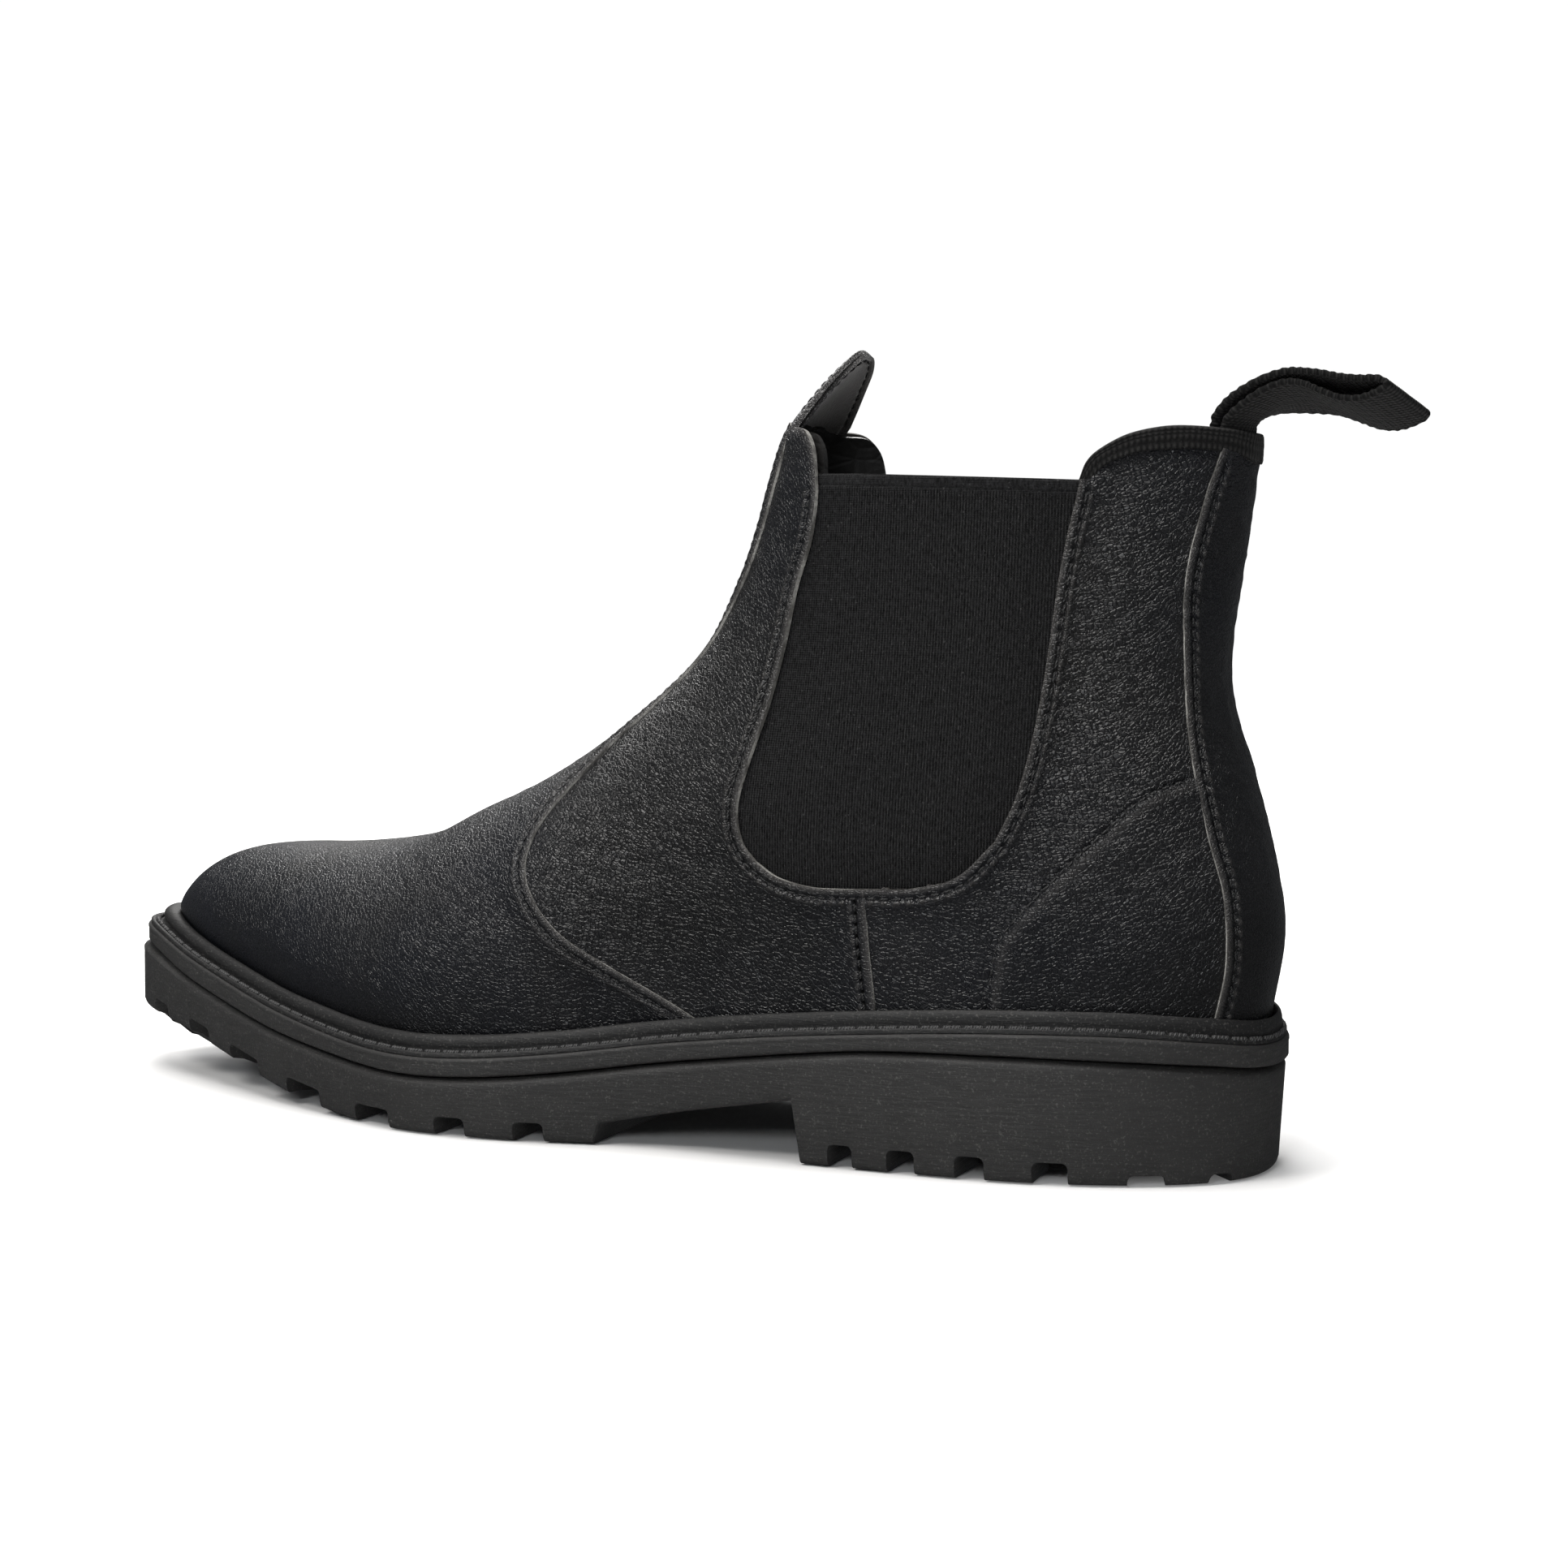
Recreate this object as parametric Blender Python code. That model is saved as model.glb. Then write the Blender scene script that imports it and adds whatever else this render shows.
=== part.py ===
"""A man's chelsea boot for the left foot, EU 43, with a lugged rubber sole.

Frame: +X towards the toe, +Y the wearer's left (the lateral side), +Z up, origin on the
ground under the middle of the heel. Sizes in this file are millimetres and are turned
into metres once, where the meshes are made.

The upper is described by its side view and by two families of half widths: upright
sections across the forefoot and level sections round the shaft. Every leather, elastic
and lining piece is a patch of that one surface, between outlines drawn in side view.
"""
import math
from bisect import bisect_right

import bmesh
import bpy
from mathutils import Vector

MM = 0.001
LATERAL, MEDIAL = 1.0, -1.0

# --- driving dimensions -------------------------------------------------------------
TOE_TIP_X, HEEL_BACK_X = 249.6, -47.3      # the upper where it meets the sole
BALL_X, SEAT_X = 150.0, 30.0               # widest forefoot, end of the round heel seat
BALL_HALF_WIDTH, SEAT_HALF_WIDTH = 41.6, 34.6
SOLE_TOE_X, SOLE_BACK_X = 260.6, -50.8
SOLE_BALL_HALF, SOLE_SEAT_HALF = 48.2, 39.2

LEATHER, LINING = 1.5, 0.8                 # thicknesses
SEAM_GAP = 0.2                             # each edge stands back this far from its seam
STIFFENER_DEPTH, STIFFENER = 2.0, 1.0      # toe puff and heel counter
LINING_DEPTH, LINING_BEHIND_STIFFENER = 2.6, 3.9
GRIP_DEPTH, GRIP = 5.5, 0.8
GORE_LIFT = 0.4                            # the gore's foot stands clear of the seam
SWELL = 2.5                                # how far the vamp's sides stand out
HEAD_ROWS, TAIL_ROWS = 6, 4                # rows that ease into a curved first or last row

LEDGE_DROP = 3.4                           # welt ledge below the upper's lower edge
BEAD = 4.9                                 # height of the welt's bead above the ledge
GROOVE_HALF, GROOVE_DEEP = 0.2, 1.5        # groove between midsole and outsole
TREAD = 4.5                                # depth of the grooves across the tread
HEEL_SETBACK, TOE_BUMPER = 1.2, 2.0        # outsole wall against the band, back and toe
LUG_REACH = 17.0                           # the edge lugs run this far inwards
BREAST_X, BREAST_TOP_X = 49.0, 51.2        # front face of the heel
WAIST_TOP_X, WAIST_X = 98.6, 100.0         # back face of the first forefoot lug
BREAST_Z = 14.0
MARGIN = 0.4                               # the upper stops this far above its lower edge

LOOP_HINGE = (-40.5, 0.0, 164.6)
TAB_HINGE = (64.4, 0.0, 166.0)
LOOP_HALF_WIDTH, WEBBING = 10.8, 1.3
LOOP_BOW, LOOP_SKEW, LOOP_ROLL = 0.031, 0.23, 0.26
TAB_HALF_WIDTH, TAB_CURL = 14.2, 0.024

# Side view: the ridge from the toe up to the front of the collar, the back, and the
# height of the upper's lower edge.
RIDGE = [(249.6, 39.9), (248.4, 44.6), (244.6, 49.9), (238, 54.5), (228, 58.2), (215, 60),
         (197, 61), (180, 63), (163, 66.6), (146.7, 74), (130.5, 81.3), (114.7, 90.8),
         (98.2, 102.6), (86.6, 114.4), (80, 126.2), (74.7, 140), (71.7, 151.4),
         (68.8, 159.9), (65.0, 166.4)]
BACK = [(-47.3, 35), (-49.6, 50), (-48.8, 62), (-43.9, 83), (-37.8, 102), (-37, 115),
        (-40, 136), (-42.4, 155), (-42.5, 164)]
FEATHER = [(-51, 32.4), (-46, 33.4), (-38, 34.8), (-20, 36.2), (10, 35.6), (50, 32.3),
           (80, 28.5), (105, 24.8), (130, 22.2), (150, 21.6), (170, 22.8), (200, 27.4),
           (230, 34.2), (249, 39.4), (261, 41)]
GROOVE = [(-51, 23.6), (-46, 24.6), (-38, 26), (-20, 27.1), (5, 27.3), (30, 26.6),
          (50, 24.6), (80, 20.4), (105, 16.6), (130, 14), (150, 13.4), (170, 14.6),
          (200, 18.4), (230, 25), (249, 30.6), (261, 32.6)]
WAIST_HALF = [(30, 34.6), (60, 32.6), (80, 31.6), (100, 33.2), (120, 37.6), (138, 41),
              (150, 41.6)]
SHAFT_HALF = [(35, 34.6), (60, 35), (80, 34), (100, 31.5), (120, 29), (140, 27.6),
              (155, 27.2), (170, 27.2)]
SWING = [(-52, -0.4), (20, 0.0), (110, 1.0), (140, 0.0), (150, -1.2), (173, -5),
         (192, -7.5), (215, -10.3), (240, -10.6), (261, -9)]
ARCH = [(BREAST_TOP_X, BREAST_Z), (76.4, 9.4), (WAIST_TOP_X, 4.8), (WAIST_X, 4.7)]
TREAD_MIDDLE = [(165, 0), (190, 0.7), (215, 3), (242, 7), (261, 10.9)]
TREAD_EDGE = [(155, 0), (170, 0.5), (190, 2.9), (212, 7.2), (235, 12.4), (250, 14.8), (261, 15.4)]

# Seams and edges in side view.
VAMP_SEAM_LOW = [(76, 29.4), (86.7, 35), (97.2, 40.5), (109.8, 48.2), (118.3, 58.2),
                 (120.4, 66.6), (117, 76.3), (106.5, 91)]
VAMP_STRIP = [(106.5, 91), (92, 106), (80.7, 119.1), (72.8, 131.9), (67.7, 146), (61.8, 164.6)]
GORE_FRONT = [(52.4, 153.9), (52.1, 148), (53.4, 138.5), (56.6, 128), (58.8, 115),
              (61.2, 102), (64.6, 89), (66.6, 79), (65, 71.4), (61.4, 67)]
GORE_FLOOR_FRONT = [(61.4, 67), (55.8, 63.7), (48, 62), (41, 61.9), (34.8, 62.2)]
GORE_FLOOR_REAR = [(34.8, 62.2), (24, 62.8), (13.4, 66), (5.2, 74)]
GORE_REAR = [(5.2, 74), (1, 83.5), (-2, 96), (-4.2, 111), (-5.8, 126), (-7.6, 138),
             (-10.5, 151.6)]
SIDE_SEAM = [(34.8, 62.2), (33.8, 49.1), (32.2, 34.6)]
FRONT_LOBE = [(61.8, 164.6), (57, 163.8), (54.6, 161.6), (53.2, 158.5), (52.4, 153.9)]
BACKSTAY_EDGE = [(-38, 158.3), (-34.6, 146.4), (-31.6, 132), (-31, 118), (-32.4, 98.1),
                 (-37.5, 75.7), (-41, 62), (-41.6, 47.9), (-39.3, 35.2)]
REAR_TOP = [(-38, 158.3), (-33.4, 159.1), (-27.3, 158.9), (-21.7, 158), (-17.2, 156.1),
            (-14.4, 153.6), (-12.6, 151.9), (-10.5, 151.6)]
STAY_TOP, STAY_FOOT = 156.2, 34.0          # heights of the back strip at the middle

# Gaps between the edge lugs: from x, to x, depth.
HEEL_GAPS = [(36.4, 42.2, 5.2), (21.8, 28.2, 5.2), (6, 12.6, 5.2), (-12, -4.4, 4.9),
             (-32, -24.5, 2.4), (-45, -41, 2.2)]
FOREFOOT_GAPS = [(111.7, 119, TREAD), (131, 139, TREAD), (152.2, 163.8, TREAD),
                 (177, 190, TREAD), (201.8, 214.5, TREAD), (224, 233, TREAD),
                 (242, 248.5, TREAD)]


# --- curves --------------------------------------------------------------------------
STEPS = 12                                 # straight pieces between two given points


def fair(points, steps=STEPS):
    """A dense polyline on the smooth curve through the given points."""
    given = [Vector(p) for p in points]
    ends = [2 * given[0] - given[1]] + given + [2 * given[-1] - given[-2]]
    dense = []
    for a, b, c, d in zip(ends, ends[1:], ends[2:], ends[3:]):
        for k in range(steps):
            t = k / steps
            dense.append(0.5 * (2 * b + (c - a) * t + (2 * a - 5 * b + 4 * c - d) * t * t
                                + (3 * b - a - 3 * c + d) * t ** 3))
    return dense + [given[-1]]


def spaced(points, count, crowd=1.0, first=0, last=None):
    """count + 1 points along the smooth curve; crowd above 1 packs them at its start.

    first and last are numbers of given points, for a part of the curve.
    """
    dense = fair(points)[first * STEPS:None if last is None else last * STEPS + 1]
    run = [0.0]
    for a, b in zip(dense, dense[1:]):
        run.append(run[-1] + (b - a).length)
    result = []
    for k in range(count + 1):
        goal = run[-1] * (k / count) ** crowd
        i = min(max(bisect_right(run, goal) - 1, 0), len(dense) - 2)
        t = (goal - run[i]) / (run[i + 1] - run[i])
        result.append(dense[i].lerp(dense[i + 1], min(t, 1.0)))
    return result


def joined(*runs):
    """One list out of several that follow each other and share their end points."""
    result = list(runs[0])
    for run in runs[1:]:
        result += run[1:]
    return result


def height_over(points, key=0):
    """A function giving the other coordinate of a curve over coordinate number key."""
    rows = sorted((p[key], p[1 - key]) for p in fair(points))
    keys = [row[0] for row in rows]

    def look_up(value):
        i = min(max(bisect_right(keys, value) - 1, 0), len(rows) - 2)
        (a, fa), (b, fb) = rows[i], rows[i + 1]
        t = 0.0 if b - a < 1e-9 else min(max((value - a) / (b - a), 0.0), 1.0)
        return fa + (fb - fa) * t
    return look_up


def smooth(value, low, high):
    t = min(max((value - low) / (high - low), 0.0), 1.0)
    return t * t * (3 - 2 * t)


def rounded(t, power, root=None):
    """A quarter of a superellipse: 1 at t = 0, falling to 0 at t = 1."""
    return max(0.0, 1.0 - min(abs(t), 1.0) ** power) ** (root or 1.0 / power)


ridge_z = height_over(RIDGE)
ridge_x = height_over(RIDGE, key=1)
back_x = height_over(BACK, key=1)
feather_z = height_over(FEATHER)
waist_half = height_over(WAIST_HALF)
shaft_half = height_over(SHAFT_HALF)
swing = height_over(SWING)
groove_height = height_over(GROOVE)
arch_z = height_over(ARCH)
tread_middle = height_over(TREAD_MIDDLE)
tread_edge = height_over(TREAD_EDGE)


def back_line(top, bottom, count):
    """Points down the middle of the back, between two heights."""
    return [Vector((back_x(z), z)) for z in
            (top + (bottom - top) * k / count for k in range(count + 1))]


# --- the surface of the upper ----------------------------------------------------------
def plan_half(x, toe, back, ball_half, seat_half, waist):
    """Half width of an outline in plan: round heel seat, waist and round toe."""
    if x >= BALL_X:
        return ball_half * rounded((x - BALL_X) / (toe - BALL_X), 1.33, 0.55)
    if x <= SEAT_X:
        return seat_half * rounded((SEAT_X - x) / (SEAT_X - back), 2.3)
    return waist(x)


def feather_half(x):
    return plan_half(x, TOE_TIP_X, HEEL_BACK_X, BALL_HALF_WIDTH, SEAT_HALF_WIDTH, waist_half)


def middle_y(x, z):
    """The boot's middle line swings to the medial side at the toe."""
    waist_shift = 1.6 * smooth(x, 20, 70) * (1 - smooth(x, 105, 145))
    return swing(x) + waist_shift * (1 - smooth(z, 60, 110))


def half_width(x, z):
    """Half width of the upper at a point of its side view."""
    low, top = feather_z(x), ridge_z(x)
    a = min(max((z - low) / max(top - low, 0.1), 0.0), 1.0)
    upright = (feather_half(x) + SWELL * 4 * a * (1 - a)) * rounded(a, 2.3)
    widest = 30 - 15 * smooth(z, 60, 120)
    if x >= widest:
        level = rounded((x - widest) / (ridge_x(z) - widest), 2.2)
    else:
        level = rounded((widest - x) / (widest - back_x(z)), 2.3)
    tuck = 1 - waist_half(x) / SEAT_HALF_WIDTH if SEAT_X < x < 115 else 0.0
    level *= shaft_half(z) * (1 - tuck * (1 - smooth(z, 45, 90)))
    share = 1 - smooth(x, 60, 120)
    return share * level + (1 - share) * upright


def outward(x, z):
    """The outward normal on the lateral side."""
    step = 0.6
    slope_x = (half_width(x + step, z) - half_width(x - step, z)) / (2 * step)
    slope_z = (half_width(x, z + step) - half_width(x, z - step)) / (2 * step)
    across = 1.0 if half_width(x, z) > 0.05 else 0.0
    return Vector((-slope_x, across, -slope_z)).normalized()


def skin(point, side, depth):
    """A point of the upper at a depth below its outer surface."""
    x, z = point
    place = Vector((x, half_width(x, z), z)) - depth * outward(x, z)
    return Vector((place.x, middle_y(x, z) + side * max(place.y, 0.0), place.z))


def lining_depth(point):
    """The lining lies deeper where the toe puff or the counter is behind the leather."""
    x, z = point
    toe = smooth(x, 172, 188)
    heel = (1 - smooth(x, 6, 20)) * (1 - smooth(z, 92, 104))
    return LINING_DEPTH + (LINING_BEHIND_STIFFENER - LINING_DEPTH) * max(toe, heel)


# --- meshes ------------------------------------------------------------------------------
def material(name, colour, roughness, metallic=0.0):
    made = bpy.data.materials.new(name)
    made.use_nodes = True
    shader = made.node_tree.nodes["Principled BSDF"]
    shader.inputs["Base Color"].default_value = (*colour, 1.0)
    shader.inputs["Roughness"].default_value = roughness
    shader.inputs["Metallic"].default_value = metallic
    return made


def finish(name, mesh_maker, look, origin=(0.0, 0.0, 0.0)):
    """Welds, orients and names the mesh, with the object's own origin on origin."""
    bmesh.ops.remove_doubles(mesh_maker, verts=mesh_maker.verts, dist=0.02)
    bmesh.ops.dissolve_degenerate(mesh_maker, edges=mesh_maker.edges, dist=0.005)
    bmesh.ops.triangulate(mesh_maker, faces=mesh_maker.faces)
    bmesh.ops.recalc_face_normals(mesh_maker, faces=mesh_maker.faces)
    bmesh.ops.translate(mesh_maker, verts=mesh_maker.verts, vec=-Vector(origin))
    bmesh.ops.scale(mesh_maker, verts=mesh_maker.verts, vec=(MM, MM, MM))
    mesh = bpy.data.meshes.new(name)
    mesh_maker.to_mesh(mesh)
    mesh_maker.free()
    mesh.materials.append(look)
    made = bpy.data.objects.new(name, mesh)
    made.location = Vector(origin) * MM
    bpy.context.scene.collection.objects.link(made)
    mesh.shade_smooth()
    mesh.set_sharp_from_angle(angle=math.radians(35))
    return made


def sheet_solid(name, outer, inner, look, origin=(0.0, 0.0, 0.0), folded=False):
    """A solid between two grids of points; folded: the first row closes on itself."""
    maker = bmesh.new()
    front, back = [[[maker.verts.new(p) for p in row] for row in grid]
                   for grid in (outer, inner)]
    rows, columns = len(outer), len(outer[0])
    for grid in (front, back):
        for i in range(rows - 1):
            for j in range(columns - 1):
                maker.faces.new((grid[i][j], grid[i][j + 1],
                                 grid[i + 1][j + 1], grid[i + 1][j]))
    for i in range(rows - 1):
        for j in (0, columns - 1):
            maker.faces.new((front[i][j], back[i][j], back[i + 1][j], front[i + 1][j]))
    for i in (rows - 1,) if folded else (0, rows - 1):
        for j in range(columns - 1):
            maker.faces.new((front[i][j], front[i][j + 1], back[i][j + 1], back[i][j]))
    return finish(name, maker, look, origin)


def shifted(edge, neighbours, amount):
    """An edge moved towards its neighbours, square to its own run."""
    moved = []
    for k, (here, inner) in enumerate(zip(edge, neighbours)):
        along = edge[min(k + 1, len(edge) - 1)] - edge[max(k - 1, 0)]
        into = inner - here
        if along.length > 1e-6:
            into = into - along * (into.dot(along) / along.length_squared)
        moved.append(here + into.normalized() * amount if into.length > 1e-6 else here)
    return moved


def ease(rows, shares, curve, count):
    """Makes the first row follow a curve, and draws the next few after it."""
    fine = spaced(curve, 60)
    bulge = [fine[round(60 * t)] - p for t, p in zip(shares, rows[0])]
    for i in range(count):
        fade = (1 - i / count) ** 2
        rows[i] = [p + b * fade for p, b in zip(rows[i], bulge)]


def side_rows(edge_a, edge_b, columns, crowd_a, head=None, tail=None):
    """Rows of side-view points from edge_a to edge_b, packed towards edge_a.

    head and tail are curves that the first and the last row follow.
    """
    if crowd_a:
        shares = [1 - math.cos(0.5 * math.pi * j / columns) for j in range(columns + 1)]
    else:
        shares = [j / columns for j in range(columns + 1)]
    rows = [[a.lerp(b, t) for t in shares] for a, b in zip(edge_a, edge_b)]
    if head:
        ease(rows, shares, head, HEAD_ROWS)
    if tail:
        rows.reverse()
        ease(rows, shares, tail, TAIL_ROWS)
        rows.reverse()
    return rows


def layer(rows, side, depth):
    """The rows laid on the upper, depth being a number or a function of the point."""
    return [[skin(p, side, depth(p) if callable(depth) else depth) for p in row]
            for row in rows]


def trimmed(grid, inset, folded=False):
    """The grid with its edges drawn in, apart from a first row that closes on itself."""
    columns = [list(column) for column in zip(*grid)]
    first, last = shifted(columns[0], columns[1], inset), shifted(columns[-1], columns[-2], inset)
    rows = [list(row) for row in zip(first, *columns[1:-1], last)]
    if folded:
        rows[0] = grid[0]
    else:
        rows[0] = shifted(rows[0], rows[1], inset)
    rows[-1] = shifted(rows[-1], rows[-2], inset)
    return rows


def side_piece(name, edge_a, edge_b, columns, side, look, depth=0.0, thickness=LEATHER,
               crowd_a=False, head=None, tail=None):
    """A piece that lies on one side of the boot."""
    rows = side_rows(edge_a, edge_b, columns, crowd_a, head, tail)
    outer = trimmed(layer(rows, side, depth), SEAM_GAP)
    inner = trimmed(layer(rows, side, depth + thickness), SEAM_GAP)
    return sheet_solid(name, outer, inner, look)


def wrapped_piece(name, middle, edge, columns, look, depth=0.0, thickness=LEATHER,
                  head=None, tail=None, folded=False):
    """A piece that wraps over the ridge or round the back, the same on both sides.

    folded: its first row lies along the ridge, where the two sides meet.
    """
    rows = side_rows(middle, edge, columns, True, head, tail)

    def both(extra):
        total = (lambda p: depth(p) + extra) if callable(depth) else depth + extra
        near, far = layer(rows, LATERAL, total), layer(rows, MEDIAL, total)
        for place in (near[0] if folded else []) + [row[0] for row in near]:
            place.y = middle_y(place.x, place.z)
        if folded:
            far[0] = [place.copy() for place in near[0]]
        return [list(reversed(a)) + b[1:] for a, b in zip(near, far)]
    outer = trimmed(both(0.0), SEAM_GAP, folded)
    inner = trimmed(both(thickness), SEAM_GAP, folded)
    return sheet_solid(name, outer, inner, look, folded=folded)


# --- the sole ------------------------------------------------------------------------------
sole_waist = height_over([(SEAT_X, 39.2), (48, 38.4), (70, 37.2), (86, 37), (100, 38.8),
                          (114, 42.4), (128, 45.8), (140, 47.7), (BALL_X, SOLE_BALL_HALF)])


def sole_half(x):
    return plan_half(x, SOLE_TOE_X, SOLE_BACK_X, SOLE_BALL_HALF, SOLE_SEAT_HALF, sole_waist)


def stations(low, high, count, extra=()):
    """Values of x packed at both ends of an outline, with extra ones where shapes change."""
    middle, reach = (low + high) / 2, (high - low) / 2
    spread = [middle - reach * math.cos(math.pi * k / count) for k in range(count + 1)]
    kept = [x for x in spread if all(abs(x - e) > 1.4 for e in extra)]
    return sorted(kept + list(extra))


def outline(half, xs, inset=0.0):
    """Pairs of x and half width, moved inwards square to the outline.

    inset is a number or a function of x.
    """
    pairs = [Vector((x, half(x))) for x in xs]
    moved = []
    for k, here in enumerate(pairs):
        before, after = pairs[max(k - 1, 0)], pairs[min(k + 1, len(pairs) - 1)]
        if k in (0, len(pairs) - 1):
            inwards = Vector((1.0 if k == 0 else -1.0, 0.0))
        else:
            along = (after - before).normalized()
            inwards = Vector((along.y, -along.x))
        there = here + inwards * (inset(here.x) if callable(inset) else inset)
        moved.append(Vector((there.x, max(there.y, 0.0))))
    return moved


def plate(name, rings, look, shares=(-1.0, 1.0)):
    """A solid out of level rings, each an outline and a height over (x, share of width)."""
    maker = bmesh.new()

    def ring_points(pairs, height):
        grid = []
        for x, h in pairs:
            grid.append([maker.verts.new((x, middle_y(x, 30) + s * h, height(x, s)))
                         for s in shares])
        return grid
    made = [ring_points(pairs, height) for pairs, height in rings]
    for grid in (made[0], made[-1]):
        for a, b in zip(grid, grid[1:]):
            for j in range(len(shares) - 1):
                maker.faces.new((a[j], a[j + 1], b[j + 1], b[j]))
    for lower, upper in zip(made, made[1:]):
        for column in (0, -1):
            for k in range(len(lower) - 1):
                maker.faces.new((lower[k][column], lower[k + 1][column],
                                 upper[k + 1][column], upper[k][column]))
        for k in (0, -1):
            for j in range(len(shares) - 1):
                maker.faces.new((lower[k][j], lower[k][j + 1],
                                 upper[k][j + 1], upper[k][j]))
    if len(made) > 2:
        used = {v for grid in (made[0], made[-1]) for row in grid for v in row}
        edge_only = [v for grid in made[1:-1] for row in grid for v in row[1:-1]
                     if v not in used and not v.link_faces]
        bmesh.ops.delete(maker, geom=edge_only, context="VERTS")
    return finish(name, maker, look)


def tread_z(x, share):
    """Height of the lugs' lower faces, and of the arch between heel and forefoot."""
    if x <= BREAST_X:
        return 0.0
    if x < WAIST_X:
        return arch_z(x)
    towards_edge = smooth(max(abs(share), smooth(x, 228, 256)), 0.5, 1.0)
    return tread_middle(x) + (tread_edge(x) - tread_middle(x)) * towards_edge


def ledge_z(x, _share=0.0):
    return feather_z(x) - LEDGE_DROP


def groove_z(x, _share=0.0):
    return groove_height(x)


def wall_inset(x):
    """How far the outsole's wall stands inside the band above it; outside at the toe."""
    return HEEL_SETBACK * (1 - smooth(x, -40, 5)) - TOE_BUMPER * smooth(x, 228, 252)


def gap_cutter(cells, x_from, x_to, depth, side):
    """Adds one gap between two edge lugs to the list of cells that are cut away."""
    middle = (x_from + x_to) / 2
    slope = (sole_half(middle + 2) - sole_half(middle - 2)) / 4
    turn = math.atan(slope) * smooth(abs(middle - 90), 70, 140)
    inwards = Vector((math.sin(turn), -math.cos(turn)))
    corners = []
    for x in (x_from, x_to):
        edge = Vector((x, sole_half(x)))
        for reach in (-6.0, min(LUG_REACH, 0.8 * sole_half(middle))):
            corners.append(edge + inwards * reach)
    cells.append(([(p.x, middle_y(p.x, 30) + side * p.y, tread_z(p.x, 0.9))
                   for p in (corners[0], corners[1], corners[3], corners[2])], depth))


def bar_cutter(cells, x, half, width, lean):
    """Adds one slanted groove across the middle of the tread."""
    low, high = x - width / 2, x + width / 2
    shape = [(low - lean, -half), (high - lean, -half), (high + lean, half), (low + lean, half)]
    cells.append(([(p, middle_y(p, 30) + q, tread_z(p, 0.0)) for p, q in shape], TREAD))


def cut_tread(body, cells):
    """Cuts the cells out of the body from below, each to its own depth."""
    maker = bmesh.new()
    for cell, depth in cells:
        low = [maker.verts.new((x, y, z - 9.0)) for x, y, z in cell]
        high = [maker.verts.new((x, y, z + depth)) for x, y, z in cell]
        maker.faces.new(low)
        maker.faces.new(high)
        for k in range(4):
            n = (k + 1) % 4
            maker.faces.new((low[k], low[n], high[n], high[k]))
    bmesh.ops.recalc_face_normals(maker, faces=maker.faces)
    bmesh.ops.scale(maker, verts=maker.verts, vec=(MM, MM, MM))
    mesh = bpy.data.meshes.new("tread_cutter")
    maker.to_mesh(mesh)
    maker.free()
    cutter = bpy.data.objects.new("tread_cutter", mesh)
    bpy.context.scene.collection.objects.link(cutter)
    cutter.hide_render = True
    cutter.display_type = "WIRE"
    cut = body.modifiers.new("tread", "BOOLEAN")
    cut.operation = "DIFFERENCE"
    cut.solver = "EXACT"
    cut.object = cutter


def make_outsole(look):
    xs = stations(SOLE_BACK_X, SOLE_TOE_X, 38,
                  extra=(BREAST_X, BREAST_TOP_X, WAIST_TOP_X, WAIST_X))
    shares = (-1.0, -0.78, -0.5, 0.0, 0.5, 0.78, 1.0)
    body = plate("outsole", [
        (outline(sole_half, xs, lambda x: wall_inset(x) + 1.5), tread_z),
        (outline(sole_half, xs, lambda x: wall_inset(x) + 0.5), lambda x, s: tread_z(x, s) + 1.8),
        (outline(sole_half, xs, lambda x: wall_inset(x) * 0.6), lambda x, s: groove_z(x) - 1.4),
        (outline(sole_half, xs, lambda x: max(wall_inset(x), 0.0) + GROOVE_DEEP),
         lambda x, s: groove_z(x) - GROOVE_HALF),
    ], look, shares)
    cells = []
    for side in (LATERAL, MEDIAL):
        for x_from, x_to, depth in HEEL_GAPS + FOREFOOT_GAPS:
            gap_cutter(cells, x_from, x_to, depth, side)
    for x in (-20.0, 0.0, 20.0):
        bar_cutter(cells, x, 11.0, 5.0, 4.0)
    for k in range(6):
        bar_cutter(cells, 112.0 + 18.0 * k, 15.0, 6.0, 5.0)
    cut_tread(body, cells)
    return body


def make_midsole(look):
    xs = stations(SOLE_BACK_X, SOLE_TOE_X, 38)
    plate("midsole", [
        (outline(sole_half, xs, GROOVE_DEEP), lambda x, s: groove_z(x) + GROOVE_HALF),
        (outline(sole_half, xs, 0.2), lambda x, s: groove_z(x) + 1.0),
        (outline(sole_half, xs, 0.0), lambda x, s: ledge_z(x) - 0.8),
        (outline(sole_half, xs, 0.8), ledge_z),
    ], look)


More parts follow.
